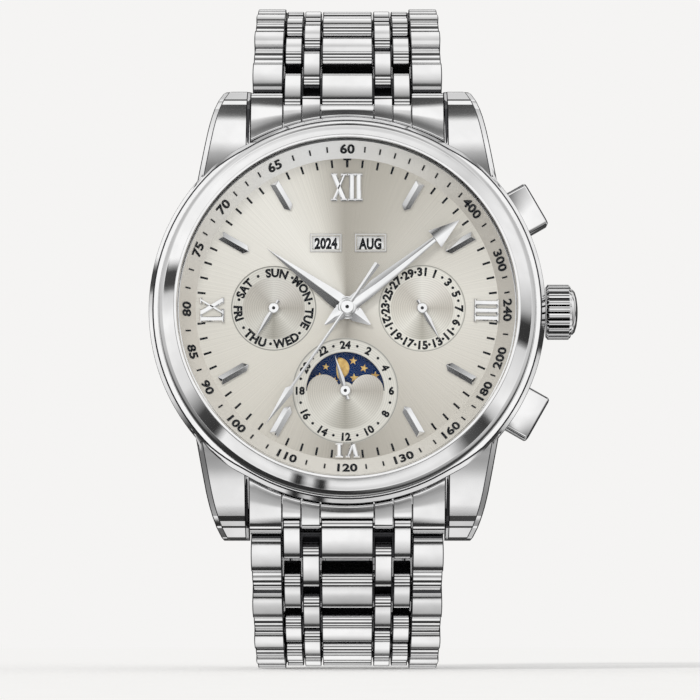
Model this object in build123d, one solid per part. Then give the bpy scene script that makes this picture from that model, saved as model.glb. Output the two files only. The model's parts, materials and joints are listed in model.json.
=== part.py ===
from build123d import *
import os
from math import asin, cos, pi, radians, sin

os.makedirs("parts", exist_ok=True)

# A gentleman's calendar watch with a moon phase on a steel bracelet, all lengths in millimetres.
# Each piece is drawn lying on its back: x to the crown, y to 12 o'clock, z from the case back to the eye.
# It is then stood up, so that the dial faces the viewer and 12 o'clock points to the sky.

# One overrun for every cut that passes right through
overrun = 1.0

# Clearances: pieces pressed or seated in one another, pins that turn, and arbors of the hands
fit_clearance = 0.02
hinge_clearance = 0.04
arbor_clearance = 0.05

# Slim pins, arbors and their holes are drawn with this many flats
slim_side_count = 12

# Movement: main plate, bridge and screws
plate_radius = 15.25
plate_thickness = 2.6
bridge_inset = 0.65
bridge_side_count = 10
bridge_thickness = 1.2
bridge_gap = 0.05
screw_radius = 0.55
screw_head_radius = 1.0
screw_head_thickness = 0.25
screw_slot = 0.25
screw_inset = 2.0
bridge_screw_angles = [-150.0, -60.0, 40.0]

# Winding rotor, which hangs below the cock
rotor_inset = 0.35
rotor_rim_width = 2.6
rotor_thickness = 0.5
rotor_rim_thickness = 0.7
rotor_hub_radius = 2.4
rotor_pin_radius = 1.0
rotor_clearance = 0.05
rotor_gap = 0.15
rotor_cock_gap = 0.2

# Balance in its well, and the cock over it
balance_radius = 4.1
balance_rim = 0.55
balance_thickness = 0.35
balance_spoke = 0.5
balance_staff_radius = 0.15
balance_well_gap = 0.5
balance_edge = 0.84
balance_angle = 140.8
cock_thickness = 0.3
cock_width = 2.4
cock_foot = 2.8
cock_gap = 0.12
cock_angle = 39.0

# Case middle, which grows outwards from the movement and upwards from the back
case_low = 1.2
back_bore_depth = 2.0
back_shoulder = 2.45
movement_clearance = 0.1
dial_ledge = 2.65
dial_clearance = 0.05
case_step = 0.15
case_bevel = 0.5
case_bevel_height = 0.7
case_foot_inset = 1.0
case_foot_height = 3.2
case_rim_rise = 0.8

# Lugs, of which one is drawn and mirrored
lug_gap = 21.2
lug_out = 2.9
lug_root_in = 9.0
lug_root_width = 6.2
lug_shoulder_run = 1.4
lug_shoulder_width = 5.4
lug_tip_width = 2.8
lug_tip_bevel = 0.8
lug_tip_run = 2.5
lug_drop = 0.3
lug_crease_drop = 2.0
lug_tip_depth = 1.7
lug_lift = 0.1
lug_crown_rise = 0.45

# Bezel and crystal
glass_overlap = 0.2
bezel_lip_width = 0.3
bezel_slope_width = 1.3
bezel_flange_width = 0.55
bezel_flange_height = 0.55
bezel_shoulder = 0.9
crystal_clearance = 0.03
crystal_thickness = 1.7
crystal_proud = 0.3

# Chapter ring, which slopes from the crystal to the dial
chapter_width = 1.7
chapter_gap = 0.05
hand_glass_gap = 0.07

# Calendar discs under the dial, whose posts keep a distance from the plate's edge
disc_thickness = 0.22
disc_gap = 0.09
window_disc_radius = 4.3
window_disc_offset = 3.5
disc_post_radius = 0.35
disc_post_edge = 4.65
moon_disc_radius = 4.5

# Dial, its openings and sunk subdials, whose arbors keep a distance from the plate's edge
dial_thickness = 0.4
dial_sink = 0.08
hole_clearance = 0.06
weekday_edge = 7.35
weekday_dial_radius = 4.6
date_edge = 7.19
date_dial_radius = 4.7
moon_x = -0.2
moon_edge = 6.35
moon_opening_radius = 4.2
moon_hump_radius = 1.75
moon_hump_offset = 2.35
moon_hub_radius = 0.95
year_window_x = -2.3
month_window_x = 2.52
window_width = 2.95
window_height = 1.5
window_frame = 0.22
window_frame_rise = 0.15

# Applied hour batons and Roman numerals, set in from the chapter ring
marker_inset = 0.9
baton_length = 3.2
baton_width = 0.9
baton_point = 0.7
baton_edge = 0.15
baton_rise = 0.45
numeral_rise = 0.32
numeral_stroke = 0.62
numeral_hair = 0.24
numeral_serif = 0.22
twelve_width = 3.4
twelve_height = 2.9
side_numeral_width = 2.65
side_numeral_height = 2.65
six_width = 2.7
six_height = 1.6
numeral_inset = 0.98
six_inset = 0.15

# Hands, each a faceted lance with a pointed tail, measured from its arbor
hand_thickness = 0.16
hub_thickness = 0.22
hand_gap = 0.15
arbor_foot_gap = 0.1
tail_tip_width = 0.2
hour_pipe_radius = 0.8
minute_pipe_radius = 0.52
seconds_arbor_radius = 0.24
hour_hub_radius = 1.25
minute_hub_radius = 1.0
seconds_hub_radius = 0.75
hour_hand_length = 10.3
hour_hand_width = 1.75
hour_hand_wide_at = 1.6
hour_hand_tail = 3.1
hour_tail_width = 1.65
hour_tail_at = 1.3
minute_arrow_length = 3.45
minute_arrow_width = 2.3
minute_arrow_notch = 0.15
minute_hand_width = 1.6
minute_hand_wide_at = 2.4
minute_neck_width = 0.6
minute_hand_tail = 3.05
minute_tail_width = 1.5
minute_tail_at = 1.2
seconds_dart_length = 5.0
seconds_dart_width = 1.0
seconds_shaft_width = 0.22
seconds_tail = 5.7
seconds_tail_width = 0.6
small_hub_radius = 0.58
small_arbor_radius = 0.24
small_hand_width = 0.7
small_hand_tail = 1.0
small_tip_width = 0.12
weekday_hand_length = 4.0
date_hand_length = 3.9
hours_hand_length = 4.0

# Clock angles of the hands at rest, clockwise from 12 in degrees
hour_hand_angle = 306.5
minute_hand_angle = 52.0
seconds_hand_angle = 214.6
weekday_hand_angle = 211.0
date_hand_angle = 151.0
hours_hand_angle = 343.6

# Case back and its gasket
back_inset = 0.6
back_face_inset = 0.8
back_bevel = 0.7
back_seat_gap = 0.05
back_skirt_clearance = 0.1
back_plug_depth = 0.8
back_notch_width = 2.4
back_notch_depth = 0.45
back_notch_length = 1.3
back_notch_count = 6
gasket_width = 0.8

# Crown, stem and setting lever
stem_height = 0.4
crown_radius = 3.02
crown_gap = 0.4
crown_length = 2.5
crown_flute_count = 24
flute_depth = 0.22
crown_dome = 0.6
crown_dome_radius = 2.4
crown_dome_top_radius = 1.7
crown_skirt_radius = 2.1
crown_skirt_depth = 0.7
crown_tube_radius = 1.5
crown_tube_start = 1.85
tube_bore_radius = 0.6
stem_radius = 0.5
stem_inside = 4.65
stem_groove_radius = 0.3
stem_groove_inside = 3.05
stem_groove_width = 0.5
stem_channel_width = 1.5
stem_channel_length = 6.05
lever_width = 0.4

# Pushers, drawn along x and turned to their places
pusher_angle = 29.8
pusher_width = 5.1
pusher_height = 2.6
pusher_corner = 0.7
pusher_depth = 2.0
pusher_travel = 0.8
pusher_stop_gap = 0.15
pocket_depth = 1.1
pocket_clearance = 0.12
pusher_shaft_radius = 0.55
pusher_shaft_gap = 0.35
pusher_tube_radius = 1.1
pusher_tube_length = 2.3
pusher_spring_radius = 1.05
pusher_spring_wall = 0.3
spring_end_gap = 0.04

# Bracelet link, drawn with its first hinge at the origin and y running along the bracelet
link_pitch = 7.4
link_half = 1.5
link_side_gap = 0.1
centre_width = 5.8
column_width = 2.05
column_gap = 0.06
inner_column_drop = 0.06
inner_column_bevel = 0.32
link_knuckle = 1.85
link_gap = 0.1
web_drop = 0.35
hinge_pin_radius = 0.45
inner_column_share = 0.72
end_facet_count = 3

# Where the bracelet leaves the head, and the slope of each link in the closed loop
bracelet_inset = 1.4
bracelet_drop = 1.3
end_link_slope = 12.0
link_slopes = [37.0, 54.0, 66.0, 80.0, 95.0, 111.0, 127.0, 145.0, 163.0]
clasp_slope = 180.0

# End links and their spring bars
end_link_back = 7.0
end_link_gap = 0.08
hook_reach = 0.6
hook_low = 3.95
hook_slope_start = 0.4
hook_slope_low = 1.95
hook_end_low = 2.45
heel_low = 3.4
heel_start = 2.0
spring_bar_back = 1.1
spring_bar_drop = 2.8
spring_bar_radius = 0.7
spring_tip_radius = 0.4
spring_tip_depth = 1.0
spring_bar_clearance = 0.05
spring_bar_shoulder = 0.6

# Folding clasp, drawn with its upper hinge at the origin
cover_inset = 1.5
cover_wall = 0.8
cover_rise = 0.6
cover_sheet = 0.8
cover_start = 2.1
cover_wall_drop = 0.6
cover_head_thickness = 0.9
cover_end_radius = 0.9
long_hinge_back = 3.6
clasp_pin_radius = 0.5
blade_thickness = 0.8
blade_cover_gap = 1.8
blade_ear_width = 2.0
blade_layer = 1.9
short_hinge_at = 6.0
blade_barrel_radius = 0.95
blade_side_gap = 0.1
blade_end_gap = 0.2
tongue_column_gap = 0.15
tongue_start_back = 2.6
tongue_radius = 1.05
button_at = 14.0
button_length = 5.0
button_height = 1.1
button_middle = 0.3
button_proud = 0.9
button_travel = 0.7
button_gap = 0.2
button_clearance = 0.08

# Radii worked out from the sizes above, from the movement to the outside
bridge_radius = plate_radius - bridge_inset
rotor_radius = plate_radius - rotor_inset
balance_well_radius = balance_radius + balance_well_gap
balance_distance = plate_radius - balance_edge - balance_well_radius
balance_x = balance_distance * cos(radians(balance_angle))
balance_y = balance_distance * sin(radians(balance_angle))
movement_bore_radius = plate_radius + movement_clearance
back_bore_radius = movement_bore_radius + back_shoulder
dial_radius = movement_bore_radius + dial_ledge
dial_seat_radius = dial_radius + dial_clearance
chapter_inner_radius = dial_radius - chapter_width
marker_radius = chapter_inner_radius - marker_inset
bezel_bore_radius = dial_radius + glass_overlap
bezel_lip_radius = bezel_bore_radius + bezel_lip_width
bezel_radius = bezel_lip_radius + bezel_slope_width
bezel_flange_radius = bezel_radius + bezel_flange_width
case_top_radius = bezel_flange_radius + case_step
case_radius = case_top_radius + case_bevel
case_foot_radius = case_radius - case_foot_inset
back_radius = case_foot_radius - back_inset
back_face_radius = back_radius - back_face_inset
back_skirt_radius = back_bore_radius - back_skirt_clearance

# Heights worked out from the sizes above, from the back to the crystal
back_flange = case_low - back_seat_gap
back_plug = case_low + back_plug_depth
back_bore_top = case_low + back_bore_depth
rotor_low = back_plug + rotor_gap
cock_low = rotor_low + rotor_rim_thickness + rotor_cock_gap
bridge_low = cock_low + cock_thickness
bridge_top = bridge_low + bridge_thickness
plate_low = bridge_top + bridge_gap
plate_top = plate_low + plate_thickness
crown_height = plate_low + stem_height
month_disc_low = plate_top + disc_gap
year_disc_low = month_disc_low + disc_thickness + disc_gap
dial_seat_height = year_disc_low + disc_thickness + disc_gap * 2
dial_face = dial_seat_height + dial_thickness
small_hand_low = dial_face + hand_gap
hour_hand_low = small_hand_low + hub_thickness + hand_gap
minute_hand_low = hour_hand_low + hub_thickness + hand_gap
seconds_hand_low = minute_hand_low + hub_thickness + hand_gap
chapter_top = seconds_hand_low + hub_thickness + hand_glass_gap
crystal_low = chapter_top + chapter_gap
crystal_top = crystal_low + crystal_thickness
bezel_top = crystal_top - crystal_proud
case_top = dial_seat_height + case_rim_rise
case_band_top = case_top - case_bevel_height
case_waist = case_low + case_foot_height
lug_low = case_low + lug_lift
lug_top = case_top - lug_drop
lug_crease_height = lug_top - lug_crease_drop
lug_tip_height = lug_low + lug_tip_depth
bracelet_height = lug_crease_height - bracelet_drop
spring_bar_height = bracelet_height - spring_bar_drop

# Places worked out from the sizes above, from the case to the bracelet
lug_inner = lug_gap / 2
lug_root = case_radius - lug_root_in
lug_shoulder = lug_root + lug_shoulder_run
lug_reach = case_radius + lug_out
lug_crease = lug_reach - lug_tip_run
bracelet_start = lug_reach - bracelet_inset
spring_bar_y = bracelet_start - spring_bar_back
crown_start = case_radius + crown_gap
crown_tube_end = movement_bore_radius + crown_tube_start
stem_end = plate_radius - stem_inside
stem_groove_at = plate_radius - stem_groove_inside
stem_channel_start = plate_radius - stem_channel_length
pocket_floor = case_radius - pocket_depth
pusher_inner = pocket_floor + pusher_travel + pusher_stop_gap
pusher_face = pusher_inner + pusher_depth
pusher_shaft_end = plate_radius + pusher_travel + pusher_shaft_gap
pusher_tube_end = pocket_floor - pusher_tube_length
weekday_x = weekday_edge - plate_radius
date_x = plate_radius - date_edge
moon_y = moon_edge - plate_radius
disc_y = plate_radius - disc_post_edge
window_y = disc_y - window_disc_offset
minute_hand_length = marker_radius
seconds_hand_length = marker_radius
centre_hole_radius = hour_pipe_radius + hole_clearance
side_hole_radius = small_arbor_radius + hole_clearance
outer_edge = lug_inner - link_side_gap
centre_edge = centre_width / 2
b_edge = centre_edge + column_width
a_edge = b_edge + column_width
column_inset = column_gap / 2
spring_bar_half = outer_edge - spring_bar_shoulder
cover_half_width = outer_edge - cover_inset
cover_outside = link_half + cover_rise
long_blade_half_width = cover_half_width - cover_wall - blade_cover_gap
short_blade_half_width = long_blade_half_width - blade_ear_width - blade_side_gap
tongue_half_width = centre_edge - tongue_column_gap
button_inner = long_blade_half_width + button_travel + button_gap


def rod(radius, low, high):
    """Round bar upright about the z axis."""
    return Pos(0, 0, low) * extrude(Circle(radius), high - low, dir=(0, 0, 1))


def slim_rod(radius, low, high):
    """Slim upright bar with flats, whose corners lie on its radius."""
    section = RegularPolygon(radius, slim_side_count)
    return Pos(0, 0, low) * extrude(section, high - low, dir=(0, 0, 1))


def slim_hole(radius, low, high):
    """Cutter for a slim hole, whose flats touch its radius from outside."""
    section = RegularPolygon(radius, slim_side_count, major_radius=False)
    return Pos(0, 0, low) * extrude(section, high - low, dir=(0, 0, 1))


def tube(outer, inner, low, high):
    """Round tube upright about the z axis."""
    return Pos(0, 0, low) * extrude(Circle(outer) - Circle(inner), high - low, dir=(0, 0, 1))


def plate(points, low, high):
    """Flat plate whose outline lies in the plane of the dial."""
    return Pos(0, 0, low) * extrude(Polygon(*points, align=None), high - low, dir=(0, 0, 1))


def turned(points):
    """Turned piece from its half section of radii and heights."""
    return revolve(Plane.XZ * Polygon(*points, align=None), Axis.Z)


def across(points, left, right):
    """Bar whose section of y and z runs across the watch from left to right."""
    return Pos(left, 0, 0) * extrude(Plane.YZ * Polygon(*points, align=None), right - left, dir=(1, 0, 0))


def block(x_range, y_range, z_range):
    """Rectangular block between three pairs of limits."""
    low_x, high_x = x_range
    low_y, high_y = y_range
    outline = [(low_x, low_y), (high_x, low_y), (high_x, high_y), (low_x, high_y)]
    return plate(outline, *z_range)


def along_x(shape):
    """Lay an upright piece down, so that it points to the crown at the crown's height."""
    return Pos(0, 0, crown_height) * Rot(0, 90, 0) * shape


def cross_pin(radius, half_length, y=0.0, z=0.0):
    """Slim pin that lies across the watch, centred on it."""
    return Pos(0, y, z) * Rot(0, 90, 0) * slim_rod(radius, -half_length, half_length)


def cross_hole(radius, half_length, y=0.0, z=0.0):
    """Cutter for a slim hole across the watch."""
    return Pos(0, y, z) * Rot(0, 90, 0) * slim_hole(radius, -half_length, half_length)


def cross_bar(radius, half_length, y=0.0, z=0.0):
    """Round bar across the watch, centred on it."""
    return Pos(0, y, z) * Rot(0, 90, 0) * rod(radius, -half_length, half_length)


def both_sides(shape):
    """The piece and its mirror image on the other side of the 12 to 6 line."""
    return shape + mirror(shape, about=Plane.YZ)


def other_end(shape):
    """The same piece at the 6 o'clock end."""
    return mirror(shape, about=Plane.XZ)


def group(*shapes):
    """Separate solids kept side by side without joining them."""
    return Compound([solid for shape in shapes for solid in shape.solids()])


def clock(shape, angle):
    """Turn a piece drawn towards 12 o'clock to a clock angle."""
    return Rot(0, 0, -angle) * shape


def save(node, shape):
    """Stand the finished piece up and write it."""
    export_step(Rot(90, 0, 0) * shape, "parts/" + node + ".step")


# The head of the watch


def case_outline(gap):
    """Outer half section of the case band, grown by a gap."""
    return [
        (0, case_low - gap),
        (case_foot_radius + gap, case_low - gap),
        (case_radius + gap, case_waist),
        (case_radius + gap, bezel_top),
        (0, bezel_top),
    ]


def lug():
    """Lug at upper right: a curved side view cut to its tapered plan."""
    top_left = (lug_root, lug_top)
    crease = (lug_crease, lug_crease_height)
    straight = Polyline(
        crease,
        (lug_reach, lug_tip_height),
        (lug_reach, lug_low + lug_tip_bevel),
        (lug_reach - lug_tip_bevel, lug_low),
        (lug_root, lug_low),
        top_left,
    )
    middle_y = (lug_root + lug_crease) / 2
    middle_z = (lug_top + lug_crease_height) / 2 + lug_crown_rise
    crown = ThreePointArc(top_left, (middle_y, middle_z), crease)
    side = Plane.YZ * make_face(straight + crown)
    side_view = Pos(lug_inner, 0, 0) * extrude(side, lug_root_width, dir=(1, 0, 0))
    plan = [
        (lug_inner, lug_root),
        (lug_inner + lug_root_width, lug_root),
        (lug_inner + lug_shoulder_width, lug_shoulder),
        (lug_inner + lug_tip_width, lug_reach - lug_tip_bevel),
        (lug_inner + lug_tip_width - lug_tip_bevel / 2, lug_reach),
        (lug_inner, lug_reach),
    ]
    return side_view & plate(plan, 0, bezel_top)


def pusher_place(shape, side):
    """Turn a piece laid towards the crown to the upper or the lower pusher."""
    return Rot(0, 0, side * pusher_angle) * along_x(shape)


def case_middle():
    """Band and lugs in one forging, bored for back, movement, dial, crown and pushers."""
    band = turned([
        (movement_bore_radius, back_bore_top),
        (back_bore_radius, back_bore_top),
        (back_bore_radius, case_low),
        (case_foot_radius, case_low),
        (case_radius, case_waist),
        (case_radius, case_band_top),
        (case_top_radius, case_top),
        (dial_seat_radius, case_top),
        (dial_seat_radius, dial_seat_height),
        (movement_bore_radius, dial_seat_height),
    ])
    right = lug() + other_end(lug())
    lugs = both_sides(right) - rod(case_foot_radius - fit_clearance, 0, bezel_top)
    case = band + lugs
    tip_hole = cross_hole(
        spring_tip_radius + fit_clearance, lug_inner + spring_tip_depth, spring_bar_y, spring_bar_height)
    relief = cross_bar(
        link_knuckle, centre_edge + column_gap, bracelet_start, bracelet_height)
    for cut in (tip_hole, relief):
        case = case - cut - other_end(cut)
    case = case - along_x(slim_hole(crown_tube_radius + fit_clearance, 0, case_radius + overrun))
    pocket_half = pusher_width / 2 + pocket_clearance
    pocket_rise = pusher_height / 2 + pocket_clearance
    pocket = block(
        (-pocket_rise, pocket_rise), (-pocket_half, pocket_half), (pocket_floor, case_radius + overrun))
    hole = slim_hole(pusher_tube_radius + fit_clearance, 0, case_radius)
    for side in (1, -1):
        case = case - pusher_place(pocket, side) - pusher_place(hole, side)
    return case


def bezel():
    """Polished ring that slopes from its flange to a narrow lip."""
    return turned([
        (bezel_bore_radius, case_top),
        (bezel_flange_radius, case_top),
        (bezel_flange_radius, case_top + bezel_flange_height),
        (bezel_radius, case_top + bezel_shoulder),
        (bezel_lip_radius, bezel_top),
        (bezel_bore_radius, bezel_top),
    ])


def crystal():
    """Flat glass that stands a little proud of the bezel."""
    radius = bezel_bore_radius - crystal_clearance
    return turned([
        (0, crystal_low),
        (radius, crystal_low),
        (radius, crystal_top),
        (0, crystal_top),
    ])


def chapter_ring():
    """Sloping ring that stands on the dial's rim and carries the crystal."""
    return turned([
        (chapter_inner_radius, dial_face),
        (dial_radius, dial_face),
        (dial_radius, chapter_top),
    ])


def moon_aperture():
    """Upper half disc with a hump on each side and a round rest below the arbor's hub."""
    half = Circle(moon_opening_radius) - Pos(0, -moon_opening_radius) * Rectangle(
        moon_opening_radius * 2, moon_opening_radius * 2)
    for side in (1, -1):
        half = half - Pos(side * moon_hump_offset, 0) * Circle(moon_hump_radius)
    return half - Circle(moon_hub_radius)


def window_rim(x):
    """Raised frame round a calendar window."""
    outer = Rectangle(window_width + window_frame * 2, window_height + window_frame * 2)
    rim = outer - Rectangle(window_width, window_height)
    return Pos(x, window_y, dial_face) * extrude(rim, window_frame_rise, dir=(0, 0, 1))


def dial():
    """Dial plate with sunk side dials, two framed windows and the moon's opening."""
    face = rod(dial_radius, dial_seat_height, dial_face)
    floor = dial_face - dial_sink
    for x, radius in ((weekday_x, weekday_dial_radius), (date_x, date_dial_radius)):
        face = face - Pos(x, 0, 0) * rod(radius, floor, dial_face + overrun)
        face = face - Pos(x, 0, 0) * slim_hole(side_hole_radius, 0, dial_face)
    face = face - Pos(moon_x, moon_y, 0) * slim_hole(side_hole_radius, 0, dial_face)
    face = face - slim_hole(centre_hole_radius, 0, dial_face + overrun)
    window = Rectangle(window_width, window_height)
    for x in (year_window_x, month_window_x):
        face = face - Pos(x, window_y, 0) * extrude(window, dial_face + overrun, dir=(0, 0, 1))
        face = face + window_rim(x)
    opening = Pos(moon_x, moon_y, 0) * extrude(moon_aperture(), dial_face + overrun, dir=(0, 0, 1))
    return face - opening


def hour_markers():
    """Eight roof-shaped batons with a pointed inner end."""
    half = baton_width / 2
    roof = [(-half, 0), (half, 0), (half, baton_edge), (0, baton_rise), (-half, baton_edge)]
    start = marker_radius - baton_length
    bar = Pos(0, marker_radius, dial_face) * extrude(
        Plane.XZ * Polygon(*roof, align=None), baton_length, dir=(0, -1, 0))
    plan = [
        (-half, start + baton_point),
        (0, start),
        (half, start + baton_point),
        (half, marker_radius),
        (-half, marker_radius),
    ]
    baton = bar & plate(plan, 0, bezel_top)
    return group(*[clock(baton, hour * 360 / 12) for hour in (1, 2, 4, 5, 7, 8, 10, 11)])


def leaning(width, foot, head, height):
    """Slanted stroke between its foot and head places."""
    half = width / 2
    return Polygon(
        (foot - half, -height / 2), (foot + half, -height / 2),
        (head + half, height / 2), (head - half, height / 2), align=None)


def serif(x, width, height):
    """Thin bars at the foot and head of a stroke."""
    bar = Rectangle(width, numeral_serif)
    lift = (height - numeral_serif) / 2
    return Pos(x, lift) * bar + Pos(x, -lift) * bar


def roman(letters, width, height):
    """Roman numeral from upright, slanted and crossed strokes with serifs."""
    shares = {"I": 1, "V": 2, "X": 2}
    step = width / sum(shares[letter] for letter in letters)
    sketch = None
    start = -width / 2
    for letter in letters:
        cell = step * shares[letter]
        x = start + cell / 2
        reach = cell / 2 - numeral_stroke
        if letter == "I":
            strokes = Pos(x, 0) * Rectangle(numeral_stroke, height)
            strokes = strokes + serif(x, cell, height)
        if letter == "V":
            strokes = leaning(numeral_stroke, x, x - reach, height)
            strokes = strokes + leaning(numeral_hair, x, x + reach, height)
            top = Pos(x, (height - numeral_serif) / 2) * Rectangle(cell, numeral_serif)
            strokes = strokes + top
        if letter == "X":
            strokes = leaning(numeral_stroke, x + reach, x - reach, height)
            strokes = strokes + leaning(numeral_hair, x - reach, x + reach, height)
            strokes = strokes + serif(x, cell, height)
        sketch = strokes if sketch is None else sketch + strokes
        start = start + cell
    return sketch


def hour_numerals():
    """The four applied numerals, each standing outwards from the centre."""
    solids = []
    for letters, angle, width, height, inset in (
        ("XII", 0, twelve_width, twelve_height, numeral_inset),
        ("III", 90, side_numeral_width, side_numeral_height, numeral_inset),
        ("VI", 180, six_width, six_height, six_inset),
        ("IX", 270, side_numeral_width, side_numeral_height, numeral_inset),
    ):
        radius = chapter_inner_radius - inset - height / 2
        face = Pos(0, radius, dial_face) * roman(letters, width, height)
        solids.append(clock(extrude(face, numeral_rise, dir=(0, 0, 1)), angle))
    return group(*solids)


# Hands and discs


def hand(outline, low, hub_radius, arbor_radius, bore_radius):
    """Hand drawn towards 12, with its hub and the pipe or arbor that carries it."""
    blade = plate(outline, low, low + hand_thickness)
    hub = rod(hub_radius, low, low + hub_thickness)
    arbor = slim_rod(arbor_radius, plate_top + arbor_foot_gap, low)
    piece = blade + hub + arbor
    if bore_radius > 0:
        piece = piece - slim_hole(bore_radius, 0, bezel_top)
    return piece


def symmetric(right_side):
    """Close an outline whose right side is given from tail to tip."""
    return right_side + [(-x, y) for x, y in reversed(right_side) if x > 0]


def hour_hand():
    """Lance shape, widest beside its hub, with a pointed tail."""
    return clock(hand(
        symmetric([
            (tail_tip_width / 2, -hour_hand_tail),
            (hour_tail_width / 2, -hour_tail_at),
            (hour_hand_width / 2, hour_hand_wide_at),
            (0, hour_hand_length),
        ]),
        hour_hand_low, hour_hub_radius, hour_pipe_radius, minute_pipe_radius + arbor_clearance,
    ), hour_hand_angle)


def minute_hand():
    """Lance shape that ends in a barbed arrow head, with a pointed tail."""
    barb = minute_hand_length - minute_arrow_length
    return clock(hand(
        symmetric([
            (tail_tip_width / 2, -minute_hand_tail),
            (minute_tail_width / 2, -minute_tail_at),
            (minute_hand_width / 2, minute_hand_wide_at),
            (minute_neck_width / 2, barb + minute_arrow_notch),
            (minute_arrow_width / 2, barb),
            (0, minute_hand_length),
        ]),
        minute_hand_low, minute_hub_radius, minute_pipe_radius, seconds_arbor_radius + arbor_clearance,
    ), minute_hand_angle)


def seconds_hand():
    """Thin shaft with a long dart head and a counterweight tail."""
    dart = seconds_hand_length - seconds_dart_length
    return clock(hand(
        symmetric([
            (seconds_tail_width / 2, -seconds_tail),
            (seconds_shaft_width / 2, -seconds_hub_radius),
            (seconds_shaft_width / 2, dart),
            (seconds_dart_width / 2, dart + seconds_dart_width / 2),
            (0, seconds_hand_length),
        ]),
        seconds_hand_low, seconds_hub_radius, seconds_arbor_radius, 0,
    ), seconds_hand_angle)


def small_hand(x, y, length, angle):
    """Tapered hand of a subdial on its own arbor."""
    shape = hand(
        symmetric([
            (small_hand_width / 2, -small_hand_tail),
            (small_hand_width / 4, 0),
            (small_hand_width / 2, length / 3),
            (small_tip_width / 2, length),
        ]),
        small_hand_low, small_hub_radius, small_arbor_radius, 0)
    return Pos(x, y, 0) * clock(shape, angle)


def calendar_disc(x, low):
    """Printed disc below its window, on a post of the main plate."""
    disc = rod(window_disc_radius, low, low + disc_thickness)
    return Pos(x, disc_y, 0) * (disc - slim_hole(disc_post_radius + arbor_clearance, 0, bezel_top))


def moon_disc():
    """Disc with two moons that turns about the arbor of the 24 hour hand."""
    body = rod(moon_disc_radius, month_disc_low, month_disc_low + disc_thickness)
    return Pos(moon_x, moon_y, 0) * (body - slim_hole(small_arbor_radius + arbor_clearance, 0, bezel_top))


# The movement


def main_plate():
    """Round plate with a channel for the stem and the posts of the two calendar discs."""
    body = rod(plate_radius, plate_low, plate_top)
    post = slim_rod(disc_post_radius, plate_top, dial_seat_height - bridge_gap)
    for x in (year_window_x, month_window_x):
        body = body + Pos(x, disc_y, 0) * post
    half = stem_channel_width / 2
    channel = block(
        (stem_channel_start, plate_radius + overrun), (-half, half), (0, crown_height + half))
    return body - channel


def bridge_screw_places():
    """Three screws on the bridge, clear of the balance and the stem."""
    radius = bridge_radius * cos(pi / bridge_side_count) - screw_inset
    return [(radius * cos(radians(a)), radius * sin(radians(a))) for a in bridge_screw_angles]


def train_bridge():
    """Straight-sided bridge over the going train, with the balance's well and the rotor's pin."""
    outline = RegularPolygon(bridge_radius, bridge_side_count)
    body = Pos(0, 0, bridge_low) * extrude(outline, bridge_thickness, dir=(0, 0, 1))
    body = body - Pos(balance_x, balance_y, 0) * rod(balance_well_radius, 0, plate_low)
    half = stem_channel_width / 2
    body = body - block((stem_channel_start, bridge_radius + overrun), (-half, half), (0, plate_low))
    for x, y in bridge_screw_places():
        body = body - Pos(x, y, 0) * slim_hole(screw_radius + fit_clearance, 0, plate_low)
    return body + rod(rotor_pin_radius, rotor_low, bridge_low)


def bridge_screws():
    """Slotted screws whose heads lie on the bridge."""
    low = bridge_low - screw_head_thickness
    shank = slim_rod(screw_radius, bridge_low, bridge_top)
    head = slim_rod(screw_head_radius, low, bridge_low)
    slot = block(
        (-screw_head_radius, screw_head_radius), (-screw_slot / 2, screw_slot / 2),
        (low, low + screw_head_thickness / 2))
    screw = shank + head - slot
    return group(*[Pos(x, y, 0) * screw for x, y in bridge_screw_places()])


def rotor():
    """Half-round winding weight with a heavy rim, hanging to 6 o'clock."""
    web = rod(rotor_radius - rotor_rim_width, rotor_low, rotor_low + rotor_thickness)
    rim = tube(
        rotor_radius, rotor_radius - rotor_rim_width - fit_clearance,
        rotor_low, rotor_low + rotor_rim_thickness)
    upper = block((-case_radius, case_radius), (0, case_radius), (0, bezel_top))
    hub = rod(rotor_hub_radius, rotor_low, rotor_low + rotor_thickness)
    weight = (web + rim) - upper + hub
    return weight - rod(rotor_pin_radius + rotor_clearance, 0, bezel_top)


def balance_wheel():
    """Rim, two spokes and staff of the balance, in its well."""
    middle = (bridge_low + bridge_top) / 2
    rim = tube(balance_radius, balance_radius - balance_rim, middle, middle + balance_thickness)
    spokes = block(
        (-balance_radius + balance_rim / 2, balance_radius - balance_rim / 2),
        (-balance_spoke / 2, balance_spoke / 2), (middle, middle + balance_thickness))
    staff = slim_rod(balance_staff_radius, bridge_low + cock_gap, bridge_top)
    return Pos(balance_x, balance_y, 0) * (rim + spokes + staff)


def balance_cock():
    """Narrow bridge that holds the balance, screwed beside its well."""
    length = balance_well_radius + cock_foot
    bar = block((-length, cock_width / 2), (-cock_width / 2, cock_width / 2), (cock_low, bridge_low))
    return Pos(balance_x, balance_y, 0) * Rot(0, 0, cock_angle) * (bar - overhang())


def overhang():
    """Rounding of the cock's free end."""
    square = block((0, cock_width), (-cock_width, cock_width), (0, plate_low))
    return square - rod(cock_width / 2, 0, plate_low)


# Back and gaskets


def case_back():
    """Screw-down back with a plug inside the case and notches for its key."""
    back = turned([
        (0, 0),
        (back_face_radius, 0),
        (back_radius, back_bevel),
        (back_radius, back_flange),
        (back_skirt_radius, back_flange),
        (back_skirt_radius, back_plug),
        (0, back_plug),
    ])
    half = back_notch_width / 2
    notch = block(
        (-half, half), (back_face_radius - back_notch_length, back_radius), (-overrun, back_notch_depth))
    for number in range(back_notch_count):
        back = back - clock(notch, number * 360 / back_notch_count)
    return back


def back_gasket():
    """Seal between the plug of the back and the shoulder in the case."""
    inner = back_skirt_radius - gasket_width
    return tube(back_skirt_radius, inner, back_plug + fit_clearance, back_bore_top)


# Crown and pushers


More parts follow.
